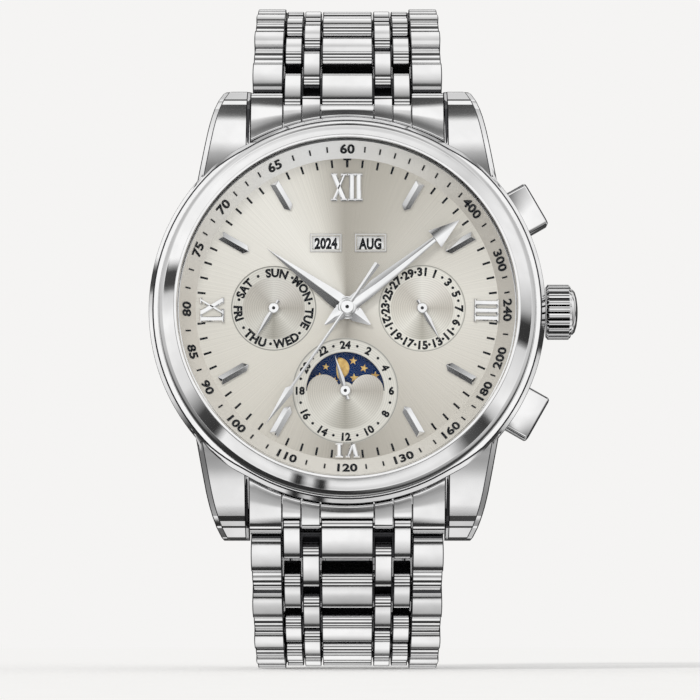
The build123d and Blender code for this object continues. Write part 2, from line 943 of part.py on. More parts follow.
def crown():
    """Fluted cap with a domed end and a skirt over the tube, and its stem."""
    points = []
    for number in range(crown_flute_count * 2):
        angle = radians(number * 180 / crown_flute_count)
        radius = crown_radius - flute_depth * (number % 2)
        points.append((radius * cos(angle), radius * sin(angle)))
    cap = plate(points, crown_start, crown_start + crown_length)
    dome_low = crown_start + crown_length
    dome = turned([
        (0, dome_low),
        (crown_dome_radius, dome_low),
        (crown_dome_radius, dome_low + crown_dome / 2),
        (crown_dome_top_radius, dome_low + crown_dome),
        (0, dome_low + crown_dome),
    ])
    recess = slim_hole(crown_skirt_radius, crown_start, crown_start + crown_skirt_depth)
    stem = slim_rod(stem_radius, stem_end, crown_start + crown_skirt_depth)
    groove_low = stem_groove_at - stem_groove_width / 2
    groove_high = groove_low + stem_groove_width
    groove = rod(stem_radius + overrun, groove_low, groove_high)
    groove = groove - slim_rod(stem_groove_radius, groove_low, groove_high)
    return group(along_x(cap + dome - recess), along_x(stem - groove))


def crown_tube():
    """Tube pressed in the case, which the crown's recess covers."""
    end = crown_start + crown_skirt_depth / 2
    body = slim_rod(crown_tube_radius, crown_tube_end, end)
    return along_x(body - slim_hole(tube_bore_radius, 0, end))


def setting_lever():
    """Fork in the stem's groove, which moves out with the stem."""
    half = lever_width / 2
    slot = stem_groove_radius + fit_clearance
    fork = block(
        (stem_groove_at - half, stem_groove_at + half), (-stem_radius, stem_radius),
        (bridge_top, crown_height + lever_width))
    gap = block(
        (stem_groove_at - half, stem_groove_at + half), (-slot, slot),
        (crown_height - slot, crown_height + lever_width))
    return fork - gap


def pusher(side):
    """Rounded rectangular cap on a shaft that runs through its tube."""
    outline = RectangleRounded(pusher_height, pusher_width, pusher_corner)
    cap = Pos(0, 0, pusher_inner) * extrude(outline, pusher_face - pusher_inner, dir=(0, 0, 1))
    shaft = slim_rod(pusher_shaft_radius, pusher_shaft_end, pusher_inner)
    return pusher_place(cap + shaft, side)


def pusher_tubes():
    """Two tubes pressed in the case."""
    body = slim_rod(pusher_tube_radius, pusher_tube_end, pocket_floor)
    body = body - slim_hole(pusher_shaft_radius + hinge_clearance, 0, pusher_face)
    return group(pusher_place(body, 1), pusher_place(body, -1))


def pusher_spring(side):
    """Outer shape of the return spring between a cap and the floor of its pocket."""
    body = slim_rod(pusher_spring_radius, pocket_floor + spring_end_gap, pusher_inner - spring_end_gap)
    body = body - slim_hole(pusher_spring_radius - pusher_spring_wall, 0, pusher_face)
    return pusher_place(body, side)


# The bracelet


def end_points(radius):
    """Facets of a round link end about its hinge, from the lower face to the upper."""
    widest = asin(link_half / radius)
    angles = [widest * (2 * number / end_facet_count - 1) for number in range(end_facet_count + 1)]
    return [(radius * cos(angle), radius * sin(angle)) for angle in angles]


def hollow_radius():
    """Corner radius of the hollow end, whose facets clear the round end of the link before."""
    clear = link_knuckle + link_gap
    half_step = asin(link_half / clear) / end_facet_count
    return clear / cos(half_step)


def outer_column():
    """Edge column, hollow at its start and round at its far end."""
    far = [(link_pitch + y, z) for y, z in end_points(link_knuckle)]
    outline = list(reversed(end_points(hollow_radius()))) + far
    return across(outline, a_edge + column_inset, outer_edge)


def inner_column(middle, left, right):
    """Polished inner column, shorter than the pitch, with bevelled upper corners."""
    half = link_pitch * inner_column_share / 2
    low = -link_half + inner_column_drop
    top = link_half - inner_column_drop
    edge = inner_column_bevel
    outline = [
        (middle - half, low),
        (middle + half, low),
        (middle + half, top - edge),
        (middle + half - edge, top),
        (middle - half + edge, top),
        (middle - half, top - edge),
    ]
    return across(outline, left, right)


front_middle = link_pitch / 4
rear_middle = link_pitch * 3 / 4


def link_web():
    """Low bar that joins the columns of a link and shows in the gaps between them."""
    start = link_knuckle + link_gap
    outline = [
        (start, -link_half + inner_column_drop),
        (link_pitch - start, -link_half + inner_column_drop),
        (link_pitch - start, -web_drop),
        (start, -web_drop),
    ]
    half = a_edge + column_inset * 2
    return across(outline, -half, half)


def link_front():
    """Front columns: the centre with its hinge bore, and the column beside the edge on each side."""
    centre = inner_column(front_middle, -centre_edge + column_inset, centre_edge - column_inset)
    centre = centre - cross_hole(hinge_pin_radius + hinge_clearance, centre_width)
    side = inner_column(front_middle, b_edge + column_inset, a_edge - column_inset)
    return centre + both_sides(side)


def link_rear():
    """Rear columns: the edges, and the column beside the centre on each side."""
    side = inner_column(rear_middle, centre_edge + column_inset, b_edge - column_inset)
    return both_sides(outer_column() + side)


def hinge_pin(y):
    """Round pin pressed in the two columns beside the centre."""
    return cross_bar(hinge_pin_radius, centre_edge + column_inset * 2, y)


def link():
    """Whole link with the pressed pin that the next link turns on."""
    return link_front() + link_rear() + link_web() + hinge_pin(link_pitch)


def last_lower_link():
    """Last link of the lower side, whose bar is drawn back out of its ears."""
    return link_front() + link_rear() + link_web()


def hinge_places():
    """Place of each hinge from the head to the clasp, as y and z on the upper side."""
    places = [(bracelet_start, bracelet_height)]
    for slope in link_slopes:
        y, z = places[-1]
        y = y + link_pitch * cos(radians(slope))
        z = z - link_pitch * sin(radians(slope))
        places.append((y, z))
    return places


def laid(shape, place, slope):
    """Lay a piece drawn along y at a hinge's place, sloping down from the head."""
    y, z = place
    return Pos(0, y, z) * Rot(-slope, 0, 0) * shape


def spring_bar():
    """Bar with a thinner spring tip at each end."""
    body = cross_pin(spring_bar_radius, spring_bar_half, spring_bar_y, spring_bar_height)
    tips = cross_pin(
        spring_tip_radius, lug_inner + spring_tip_depth - spring_bar_clearance,
        spring_bar_y, spring_bar_height)
    return body + tips


def end_link():
    """Piece that fills the space between the lugs, hooked over its spring bar."""
    top = link_half
    reach = link_knuckle + link_gap
    outline = [
        (-end_link_back, top),
        (-reach, top),
        (-reach, -link_half),
        (-hook_slope_start, -hook_slope_low),
        (hook_reach, -hook_end_low),
        (hook_reach, -hook_low),
        (-heel_start, -hook_low),
        (-end_link_back, -heel_low),
    ]
    body = across(outline, -outer_edge, outer_edge)
    edge_outline = [(-reach, -link_half)] + end_points(link_knuckle) + [(-reach, link_half)]
    ears = across(edge_outline, a_edge + column_inset, outer_edge)
    half = link_pitch * inner_column_share / 2
    side = inner_column(rear_middle - link_pitch, centre_edge + column_inset, b_edge - column_inset)
    cheek_outline = [
        (-end_link_back, 0),
        (half - link_pitch / 4, 0),
        (half - link_pitch / 4, -link_half + inner_column_drop),
        (hook_slope_start, -hook_end_low),
        (-end_link_back, -hook_end_low),
    ]
    cheek = across(cheek_outline, centre_edge + column_inset, b_edge - column_inset)
    piece = body + both_sides(ears + side + cheek) + hinge_pin(0)
    placed = laid(piece, (bracelet_start, bracelet_height), end_link_slope)
    tunnel = cross_hole(
        spring_bar_radius + spring_bar_clearance, outer_edge + overrun, spring_bar_y, spring_bar_height)
    return placed - tunnel - turned(case_outline(end_link_gap))


# The clasp, drawn with its upper hinge at the origin and its outside up


def clasp_length():
    """Distance between the two ends of the bracelet that the clasp joins."""
    y, z = hinge_places()[-1]
    return y * 2


def long_hinge_at():
    """Place of the long blade's hinge along the clasp."""
    return clasp_length() - long_hinge_back


def clasp_cover():
    """Cover with side walls, the tongue of its link hinge and the pin of the long blade."""
    end = long_hinge_at()
    inside = cover_outside - cover_sheet
    sheet_outline = [
        (cover_start, inside),
        (end + cover_end_radius, inside),
        (end, cover_outside),
        (cover_start, cover_outside),
    ]
    sheet = across(sheet_outline, -cover_half_width, cover_half_width)
    wall_outline = [
        (cover_start, -cover_wall_drop),
        (end, -cover_wall_drop),
        (end + cover_end_radius, 0),
        (end + cover_end_radius, inside),
        (cover_start, inside),
    ]
    wall = across(wall_outline, cover_half_width - cover_wall, cover_half_width)
    half = button_length / 2 + button_clearance
    rise = button_height / 2 + button_clearance
    slot = block(
        (0, cover_half_width + overrun), (button_at - half, button_at + half),
        (button_middle - rise, button_middle + rise))
    walls = both_sides(wall - slot)
    low = -link_half + inner_column_drop
    head = across([
        (cover_start, low),
        (cover_start + cover_head_thickness, low),
        (cover_start + cover_head_thickness, inside),
        (cover_start, inside),
    ], -cover_half_width, cover_half_width)
    half_share = link_pitch * inner_column_share / 2
    tongue = across([
        (front_middle - half_share, low),
        (cover_start + cover_head_thickness, low),
        (cover_start + cover_head_thickness, cover_outside),
        (cover_start, cover_outside),
        (front_middle - half_share, link_half - inner_column_drop),
    ], -centre_edge + column_inset, centre_edge - column_inset)
    tongue = tongue - cross_hole(hinge_pin_radius + hinge_clearance, centre_width)
    pin = cross_bar(clasp_pin_radius, cover_half_width - cover_wall / 2, end)
    return sheet + walls + head + tongue + pin


def clasp_blade_long():
    """Blade that turns in the end of the cover and carries the pin of the short blade."""
    end = long_hinge_at()
    half = blade_thickness / 2
    width = long_blade_half_width
    barrel = cross_pin(blade_barrel_radius, width, end)
    bore = cross_hole(clasp_pin_radius + hinge_clearance, width + overrun, end)
    start = short_hinge_at + blade_barrel_radius + blade_end_gap
    sheet = across([(start, -half), (end, -half), (end, half), (start, half)], -width, width)
    ear_inner = short_blade_half_width + blade_side_gap
    axis = -blade_layer / 2
    ear = Pos(ear_inner, short_hinge_at, axis) * Rot(0, 90, 0) * slim_rod(
        blade_barrel_radius, 0, width - ear_inner)
    arm = across([
        (short_hinge_at, -half),
        (start + blade_thickness, -half),
        (start + blade_thickness, half),
        (short_hinge_at, half),
    ], ear_inner, width)
    pin = cross_bar(clasp_pin_radius, ear_inner + blade_side_gap, short_hinge_at, axis)
    return sheet + barrel - bore + both_sides(ear + arm) + pin


def clasp_blade_short():
    """Blade that folds against the long one and reaches the last link of the lower side."""
    length = clasp_length()
    axis = -blade_layer / 2
    half = blade_thickness / 2
    width = short_blade_half_width
    barrel = cross_pin(blade_barrel_radius, width, short_hinge_at, axis)
    bore = cross_hole(clasp_pin_radius + hinge_clearance, width + overrun, short_hinge_at, axis)
    bend = length - tongue_start_back
    sheet = across([
        (short_hinge_at, -blade_layer - half),
        (bend, -blade_layer - half),
        (bend, -blade_layer + half),
        (short_hinge_at, -blade_layer + half),
    ], -width, width)
    slope = across([
        (bend - blade_thickness, -blade_layer - half),
        (bend, -blade_layer - half),
        (length, -half),
        (length, half),
        (bend - blade_thickness, -blade_layer + half),
    ], -tongue_half_width, tongue_half_width)
    tongue = cross_pin(tongue_radius, tongue_half_width, length)
    return sheet + slope + tongue + barrel - bore


def clasp_button():
    """Push button in the right wall of the cover."""
    outline = [
        (button_at - button_length / 2, button_middle - button_height / 2),
        (button_at + button_length / 2, button_middle - button_height / 2),
        (button_at + button_length / 2, button_middle + button_height / 2),
        (button_at - button_length / 2, button_middle + button_height / 2),
    ]
    return across(outline, button_inner, cover_half_width + button_proud)


def write_head():
    """Write the fixed pieces of the head."""
    save("case_middle", case_middle())
    save("bezel", bezel())
    save("crystal", crystal())
    save("chapter_ring", chapter_ring())
    save("dial", dial())
    save("hour_markers", hour_markers())
    save("hour_numerals", hour_numerals())
    save("main_plate", main_plate())
    save("train_bridge", train_bridge())
    save("bridge_screws", bridge_screws())
    save("balance_cock", balance_cock())
    save("case_back", case_back())
    save("back_gasket", back_gasket())
    save("crown_tube", crown_tube())
    save("pusher_tubes", pusher_tubes())
    save("pusher_spring_upper", pusher_spring(1))
    save("pusher_spring_lower", pusher_spring(-1))


def write_moving_pieces():
    """Write the hands, discs, crown, pushers, rotor and balance."""
    save("hour_hand", hour_hand())
    save("minute_hand", minute_hand())
    save("seconds_hand", seconds_hand())
    save("weekday_hand", small_hand(weekday_x, 0, weekday_hand_length, weekday_hand_angle))
    save("date_hand", small_hand(date_x, 0, date_hand_length, date_hand_angle))
    save("day_hour_hand", small_hand(moon_x, moon_y, hours_hand_length, hours_hand_angle))
    save("moon_disc", moon_disc())
    save("month_disc", calendar_disc(month_window_x, month_disc_low))
    save("year_disc", calendar_disc(year_window_x, year_disc_low))
    save("crown", crown())
    save("setting_lever", setting_lever())
    save("pusher_upper", pusher(1))
    save("pusher_lower", pusher(-1))
    save("rotor", rotor())
    save("balance_wheel", balance_wheel())


def write_bracelet():
    """Write the end links, spring bars, links and clasp."""
    upper_end = end_link()
    save("end_link_upper", upper_end)
    save("end_link_lower", other_end(upper_end))
    save("spring_bars", group(spring_bar(), other_end(spring_bar())))
    places = hinge_places()
    common = link()
    for number, slope in enumerate(link_slopes, start=1):
        upper = laid(common, places[number - 1], slope)
        save("upper_link_" + str(number), upper)
        if number < len(link_slopes):
            save("lower_link_" + str(number), other_end(upper))
        else:
            bare = laid(last_lower_link(), places[number - 1], slope)
            save("lower_link_" + str(number), other_end(bare))
    end = places[-1]
    save("clasp_cover", laid(clasp_cover(), end, clasp_slope))
    save("clasp_blade_long", laid(clasp_blade_long(), end, clasp_slope))
    save("clasp_blade_short", laid(clasp_blade_short(), end, clasp_slope))
    button = laid(clasp_button(), end, clasp_slope)
    save("clasp_button_right", button)
    save("clasp_button_left", mirror(button, about=Plane.YZ))


write_head()
write_moving_pieces()
write_bracelet()
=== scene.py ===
import json
from math import asin, cos, pi, radians, sin, sqrt, tan

import bmesh
import bpy
from mathutils import Matrix, Vector

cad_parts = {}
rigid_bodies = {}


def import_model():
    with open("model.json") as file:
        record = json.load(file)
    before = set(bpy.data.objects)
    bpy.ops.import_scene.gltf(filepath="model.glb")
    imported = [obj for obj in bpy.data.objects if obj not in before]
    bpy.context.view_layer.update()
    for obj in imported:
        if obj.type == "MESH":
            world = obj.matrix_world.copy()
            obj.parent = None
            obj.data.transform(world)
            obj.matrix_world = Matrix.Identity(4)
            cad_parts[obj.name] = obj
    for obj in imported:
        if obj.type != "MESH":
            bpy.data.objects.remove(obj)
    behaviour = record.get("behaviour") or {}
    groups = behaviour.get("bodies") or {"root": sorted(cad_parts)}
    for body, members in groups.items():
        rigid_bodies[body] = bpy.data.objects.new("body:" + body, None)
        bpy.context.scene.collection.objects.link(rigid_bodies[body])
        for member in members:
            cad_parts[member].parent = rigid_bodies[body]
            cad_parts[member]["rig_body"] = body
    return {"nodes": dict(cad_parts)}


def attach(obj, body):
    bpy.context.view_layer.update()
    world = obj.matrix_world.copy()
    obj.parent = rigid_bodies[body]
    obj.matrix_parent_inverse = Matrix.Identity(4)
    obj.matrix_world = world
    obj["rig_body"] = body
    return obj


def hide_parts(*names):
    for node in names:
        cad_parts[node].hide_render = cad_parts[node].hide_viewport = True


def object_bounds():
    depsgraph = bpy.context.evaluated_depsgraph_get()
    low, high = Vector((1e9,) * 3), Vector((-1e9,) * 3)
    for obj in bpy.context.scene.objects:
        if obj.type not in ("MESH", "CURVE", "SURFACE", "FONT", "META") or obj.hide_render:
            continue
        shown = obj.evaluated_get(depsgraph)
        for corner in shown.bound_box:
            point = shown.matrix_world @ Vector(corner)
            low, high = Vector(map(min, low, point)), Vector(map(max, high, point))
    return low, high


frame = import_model()
cad_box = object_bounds()
scene = bpy.context.scene
scene.view_settings.view_transform = "Standard"


# The studio. The closed bracelet stands on a pale floor, and the camera is level with its lower end
# and looks slightly up, as in the photograph. The room is pale, with the dark gaps between its soft
# panels that give polished steel its lines.

camera_place = (0.0003, -0.3084, -0.036)
camera_rise = radians(5.997)
lens = bpy.data.cameras.new("camera")
lens.lens = 144.4
lens.clip_start = 0.01
camera = bpy.data.objects.new("camera", lens)
camera.location = camera_place
camera.rotation_euler = (pi / 2 + camera_rise, 0, 0)
scene.collection.objects.link(camera)
scene.camera = camera


def add(tree, kind, inputs=(), **settings):
    """Node with its settings, and a value or another node's output on each input."""
    node = tree.nodes.new(kind)
    for key, value in settings.items():
        setattr(node, key, value)
    for key, value in dict(inputs).items():
        if isinstance(value, bpy.types.NodeSocket):
            tree.links.new(value, node.inputs[key])
        else:
            node.inputs[key].default_value = value
    return node


def calc(tree, operation, a, b=0.0, c=0.0):
    """Result of one sum on numbers or outputs."""
    return add(tree, "ShaderNodeMath", {0: a, 1: b, 2: c}, operation=operation).outputs[0]


def ramp(tree, value, stops):
    """Colour along a row of stops, each a position with a grey or a colour."""
    node = add(tree, "ShaderNodeValToRGB", {0: value})
    elements = node.color_ramp.elements
    while len(elements) < len(stops):
        elements.new(1.0)
    for element, (position, colour) in zip(elements, stops):
        element.position = position
        if isinstance(colour, (int, float)):
            colour = (colour, colour, colour)
        element.color = (*colour, 1)
    return node.outputs[0]


def blended(tree, share, first, second, kind="MIX"):
    """Mix of two colours by a share."""
    node = add(tree, "ShaderNodeMix", {0: share, 6: first, 7: second}, data_type="RGBA", blend_type=kind)
    return node.outputs[2]


def multiplied(tree, first, second):
    """Product of two colours."""
    return blended(tree, 1.0, first, second, "MULTIPLY")


world = bpy.data.worlds.new("studio")
scene.world = world
world.use_nodes = True
room = world.node_tree
room.nodes.clear()
ray = add(room, "ShaderNodeLightPath").outputs
seen_share = calc(room, "MAXIMUM", ray["Is Camera Ray"], calc(
    room, "MAXIMUM", ray["Is Glossy Ray"], ray["Is Transmission Ray"]))
wall_tone = blended(room, seen_share, (0.66, 0.66, 0.66, 1), (0.913, 0.905, 0.896, 1))
wall_light = add(room, "ShaderNodeBackground", {"Color": wall_tone, "Strength": 1.0})
room.links.new(wall_light.outputs[0], add(room, "ShaderNodeOutputWorld").inputs[0])

light_way = Vector((0.42, 0.75, -0.55))
lamp = bpy.data.lights.new("soft_lamp", "SUN")
lamp.energy = 1.0
lamp.angle = radians(14)
lamp.color = (1.0, 0.99, 0.97)
soft_lamp = bpy.data.objects.new("soft_lamp", lamp)
soft_lamp.rotation_euler = light_way.to_track_quat("-Z", "Y").to_euler()
soft_lamp.visible_glossy = False
scene.collection.objects.link(soft_lamp)

panels = bpy.data.materials.new("soft_panels")
panels.use_nodes = True
panels.cycles.emission_sampling = "NONE"
room = panels.node_tree
room.nodes.clear()
own = add(room, "ShaderNodeTexCoord").outputs["Object"]
look = add(room, "ShaderNodeVectorMath", {0: own}, operation="NORMALIZE")
parts = add(room, "ShaderNodeSeparateXYZ", {0: look.outputs[0]}).outputs
tilt = calc(room, "MULTIPLY", calc(room, "ARCCOSINE", calc(room, "MULTIPLY", parts[1], -1.0)), 180 / pi)
tilt_share = calc(room, "DIVIDE", tilt, 180.0)
round_degrees = calc(room, "MULTIPLY", calc(room, "ARCTAN2", parts[0], parts[2]), 180 / pi)
clock = calc(room, "MODULO", calc(room, "ADD", round_degrees, 360.0), 360.0)

# Each row runs from straight ahead of the dial, tilt 0, to straight behind it, tilt 180, and gives a
# grey at each tilt. The rows stand at eight clock angles round the dial.
panel_rows = {
    0: [
        (0, 1), (12, 1), (14, .04), (24, .04), (27, .12), (33, .4), (39, 1), (50, 1), (53, .03), (75, .03),
        (77, .4), (86, 1), (96, 1), (97.5, .03), (104.5, .03), (106, .8), (114, .9), (117, .6), (122, 1),
        (129, 1), (130, .03), (136, .03), (138, .4), (146, 1), (153, 1), (154, .03), (163, .03), (165, .5),
        (175, 1)],
    45: [
        (0, 1), (12, 1), (30, 1), (76, 1), (81, .05), (85, .05), (88, .5), (94, .55), (98, .9), (118, .95),
        (120, .04), (180, .2)],
    90: [
        (0, 1), (12, 1), (30, .8), (38, .4), (48, .6), (60, .65), (76, .6), (80, .04), (84, .04), (87, .6),
        (94, .65), (98, 1), (118, .95), (120, .03), (180, .04)],
    135: [
        (0, 1), (8, .95), (16, .25), (45, .08), (60, .22), (70, .3), (76, .3), (80, .04), (84, .04),
        (87, .5), (94, .55), (98, .9), (118, .9), (120, .03), (180, .1)],
    180: [
        (0, .8), (5, .03), (10, .03), (13, .35), (20, .5), (26, .9), (30, 1), (38, 1), (41, .5), (43, .03),
        (61, .03), (63, 1), (70, 1), (80, .45), (81, .03), (96, .03), (98, .8), (102, .9), (106, .6),
        (113, .4), (115, .03), (121, .03), (123, 1), (131, 1), (140, .4), (141, .03), (150, .03), (152, 1),
        (160, 1), (168, .4), (169, .03), (180, .3)],
    225: [
        (0, 1), (8, .95), (15, .25), (30, .03), (50, .05), (58, .26), (67, .34), (75, .3), (80, .03),
        (95, .03), (98, .9), (118, .9), (120, .03), (180, .1)],
    270: [
        (0, 1), (12, 1), (30, .9), (40, .35), (58, .25), (76, .25), (81, .04), (84, .04), (87, .6), (94, .65),
        (98, 1), (118, 1), (120, .03), (180, .05)],
    315: [
        (0, 1), (40, 1), (76, 1), (81, .04), (85, .04), (88, .5), (94, .55), (98, 1), (118, 1), (120, .04),
        (180, .2)],
}
row_spacing = 360.0 / len(panel_rows)
pattern = None
for middle, row in panel_rows.items():
    offset = calc(room, "MODULO", calc(room, "ADD", clock, 540.0 - middle), 360.0)
    apart = calc(room, "ABSOLUTE", calc(room, "SUBTRACT", offset, 180.0))
    near = calc(room, "MAXIMUM", calc(room, "SUBTRACT", 1.0, calc(room, "DIVIDE", apart, row_spacing)), 0.0)
    tone = ramp(room, tilt_share, [(angle / 180, value) for angle, value in row])
    part = multiplied(room, tone, near)
    pattern = part if pattern is None else blended(room, 1.0, pattern, part, "ADD")

# Flags are darker panels by clock angle, which mostly the bezel's slope and the case's edge mirror.
flag_stops = [
    (0, 1), (22, 1), (38, .75), (55, 1), (74, .9), (84, .5), (88, .04), (95, .04), (97, .7), (116, 1),
    (122, .6), (124, .05), (134, .1), (142, 1), (180, 1), (186, .95), (188, .04), (191, .04), (192, .8),
    (195, .8), (196, .04), (199, .04), (201, 1), (228, 1), (231, .04), (239, .06), (249, .8), (272, 1),
    (281, .7), (283, .06), (289, .06), (292, 1)]
flags = ramp(room, calc(room, "DIVIDE", clock, 360.0), [(angle / 360, value) for angle, value in flag_stops])
sideways = ramp(room, tilt_share, [(97 / 180, 0), (98 / 180, 1), (118 / 180, 1), (119 / 180, 0)])
off_middle = ramp(room, calc(room, "ABSOLUTE", parts[0]), [(0.09, 0), (0.13, 1)])
flagged = multiplied(room, pattern, flags)
shown = blended(room, multiplied(room, sideways, off_middle), pattern, flagged)
panel_glow = multiplied(room, shown, (1.0, 0.996, 0.99, 1))
glow = add(room, "ShaderNodeEmission", {"Color": panel_glow, "Strength": 1.0})
room.links.new(glow.outputs[0], add(room, "ShaderNodeOutputMaterial").inputs[0])

shell_radius = 2.5
shell = bmesh.new()
bmesh.ops.create_icosphere(shell, subdivisions=4, radius=shell_radius)
shell_mesh = bpy.data.meshes.new("soft_panels")
shell.to_mesh(shell_mesh)
shell.free()
shell_mesh.materials.append(panels)
panel_shell = bpy.data.objects.new("soft_panels", shell_mesh)
scene.collection.objects.link(panel_shell)
panel_shell.visible_camera = False
panel_shell.visible_diffuse = False
panel_shell.visible_transmission = False
panel_shell.visible_shadow = False


def material(name):
    """New material with its node tree and its shader."""
    made = bpy.data.materials.new(name)
    made.use_nodes = True
    tree = made.node_tree
    return made, tree, tree.nodes["Principled BSDF"]


def set_values(shader, values):
    """Set plain numbers and colours on a shader."""
    for key, value in values.items():
        shader.inputs[key].default_value = value


paper, tree, shader = material("floor_paper")
speckle = add(tree, "ShaderNodeTexNoise", {"Scale": 900.0}).outputs["Fac"]
paper_tone = ramp(tree, speckle, [(0.3, (0.90, 0.895, 0.885)), (0.7, (0.92, 0.915, 0.905))])
tree.links.new(paper_tone, shader.inputs["Base Color"])
set_values(shader, {
    "Roughness": 0.9, "Specular IOR Level": 0.0, "Emission Color": (1.0, 0.99, 0.98, 1),
    "Emission Strength": 0.15})

floor_level = cad_box[0][2]
floor_reach = 2.4
floor_mesh = bpy.data.meshes.new("floor")
floor_mesh.from_pydata(
    [(floor_reach * sx, floor_reach * sy, floor_level) for sx, sy in ((-1, -1), (1, -1), (1, 1), (-1, 1))],
    [], [(0, 1, 2, 3)])
floor_mesh.materials.append(paper)
floor = bpy.data.objects.new("floor", floor_mesh)
scene.collection.objects.link(floor)
floor.visible_glossy = False


# The movement. A nickel plated brass plate and bridge, a cock over the gilt balance and the winding
# rotor, all turned or milled, grained in circles and held by steel screws. They stay as the frame has
# them, hidden between dial and back.

def dress(material_made, *nodes):
    """Give nodes of the frame their finish."""
    for node in nodes:
        mesh = frame["nodes"][node].data
        mesh.materials.clear()
        mesh.materials.append(material_made)


def local(tree):
    """Place in a piece's own space in millimetres, as one vector and as its three parts."""
    own = add(tree, "ShaderNodeTexCoord").outputs["Object"]
    scaled = add(tree, "ShaderNodeVectorMath", {0: own, 3: 1000.0}, operation="SCALE").outputs[0]
    return scaled, add(tree, "ShaderNodeSeparateXYZ", {0: scaled}).outputs


def relief(tree, shader, height, strength, distance=0.00002):
    """Fine bump from a height."""
    bump = add(tree, "ShaderNodeBump", {"Strength": strength, "Distance": distance, "Height": height})
    tree.links.new(bump.outputs[0], shader.inputs["Normal"])


nickel, tree, shader = material("nickel")
place_mm = local(tree)[0]
spots = add(tree, "ShaderNodeTexVoronoi", {"Vector": place_mm, "Scale": 0.9}).outputs["Distance"]
circles = calc(tree, "SINE", calc(tree, "MULTIPLY", spots, 60.0))
tone = calc(tree, "MULTIPLY_ADD", circles, 0.5, 0.5)
nickel_tone = ramp(tree, tone, [(0.0, (0.50, 0.48, 0.45)), (1.0, (0.72, 0.70, 0.66))])
tree.links.new(nickel_tone, shader.inputs["Base Color"])
shader.inputs["Metallic"].default_value = 1.0
tree.links.new(calc(tree, "MULTIPLY_ADD", tone, 0.15, 0.22), shader.inputs["Roughness"])
relief(tree, shader, tone, 0.3)
dress(nickel, "main_plate", "train_bridge", "balance_cock", "rotor")


def grained(name, scale, detail, stops, values):
    """Material whose colour varies along a fine grain, with its tree, its shader and the grain."""
    made, tree, shader = material(name)
    place_mm = local(tree)[0]
    noise = add(tree, "ShaderNodeTexNoise", {"Vector": place_mm, "Scale": scale, "Detail": detail})
    grain = noise.outputs["Fac"]
    tree.links.new(ramp(tree, grain, stops), shader.inputs["Base Color"])
    set_values(shader, values)
    return made, tree, shader, grain


gilt, tree, shader, grain = grained(
    "gilt", 6.0, 4.0, [(0.3, (0.72, 0.52, 0.20)), (0.7, (0.85, 0.66, 0.32))], {"Metallic": 1.0})
tree.links.new(calc(tree, "MULTIPLY_ADD", grain, 0.2, 0.15), shader.inputs["Roughness"])
dress(gilt, "balance_wheel")


def steel(name, tint, least, most, scratches=0.12, stretch=(6.0, 6.0, 6.0)):
    """Steel with faint wear: its roughness and height vary along fine grain."""
    made, tree, shader = material(name)
    place_mm = local(tree)[0]
    drawn = add(tree, "ShaderNodeMapping", {"Vector": place_mm, "Scale": stretch}).outputs[0]
    grain = add(tree, "ShaderNodeTexNoise", {"Vector": drawn, "Scale": 1.0, "Detail": 5.0}).outputs["Fac"]
    cloud = add(tree, "ShaderNodeTexNoise", {"Vector": place_mm, "Scale": 0.35, "Detail": 2.0}).outputs["Fac"]
    dim = tuple(part * 0.93 for part in tint)
    tree.links.new(ramp(tree, cloud, [(0.35, dim), (0.6, tint)]), shader.inputs["Base Color"])
    shader.inputs["Metallic"].default_value = 1.0
    tree.links.new(calc(tree, "MULTIPLY_ADD", grain, most - least, least), shader.inputs["Roughness"])
    relief(tree, shader, grain, scratches, 0.000005)
    return made


satin = steel("satin_steel", (0.88, 0.88, 0.885), 0.28, 0.42, 0.3, (30.0, 1.5, 30.0))
dress(satin, "bridge_screws")


# The case middle. One steel forging of the round band and its four lugs, ground and polished. Its
# band widens upwards to the seat of the bezel, with a fine turned bevel on its upper edges, in
# dark steel as painted shade.

polished = steel("polished_steel", (0.93, 0.93, 0.935), 0.03, 0.09)
# Painted shade: a dark steel laid on walls in the gaps between columns, in grooves and as thin lines along
# edges, where shade falls.
painted_shade_steel = steel("painted_shade_steel", (0.07, 0.07, 0.075), 0.2, 0.35)


def finish(piece, finish_made, bevel=0.0, turn=28):
    """Smooth shading, a bevel along the edges and a finish."""
    mesh = piece.data
    if not mesh.materials:
        for made in finish_made if isinstance(finish_made, (list, tuple)) else [finish_made]:
            mesh.materials.append(made)
    mesh.shade_smooth()
    mesh.set_sharp_from_angle(angle=radians(turn))
    if bevel:
        edge = piece.modifiers.new("edge", "BEVEL")
        edge.width = bevel / 1000
        edge.segments = 2
        edge.limit_method = "ANGLE"
        edge.angle_limit = radians(turn)
        edge.harden_normals = True


def refined(node, bevel, finish_made, turn=28):
    """Copy of a node's shape with its facets joined and its edges bevelled, in the node's place."""
    source = frame["nodes"][node]
    mesh = bpy.data.meshes.new(node + "_shape")
    mesh.from_pydata([v.co for v in source.data.vertices], [], [p.vertices[:] for p in source.data.polygons])
    body = bmesh.new()
    body.from_mesh(mesh)
    bmesh.ops.remove_doubles(body, verts=body.verts, dist=2e-6)
    bmesh.ops.dissolve_limit(body, angle_limit=radians(0.6), verts=body.verts, edges=body.edges)
    body.to_mesh(mesh)
    body.free()
    piece = bpy.data.objects.new(node + "_shape", mesh)
    scene.collection.objects.link(piece)
    finish(piece, finish_made, bevel, turn)
    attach(piece, source["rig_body"])
    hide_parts(node)
    return piece


band_foot, band_top = 4.4, 8.1
band_widening = 0.4
lug_inside, lug_blend = 10.8, 3.5

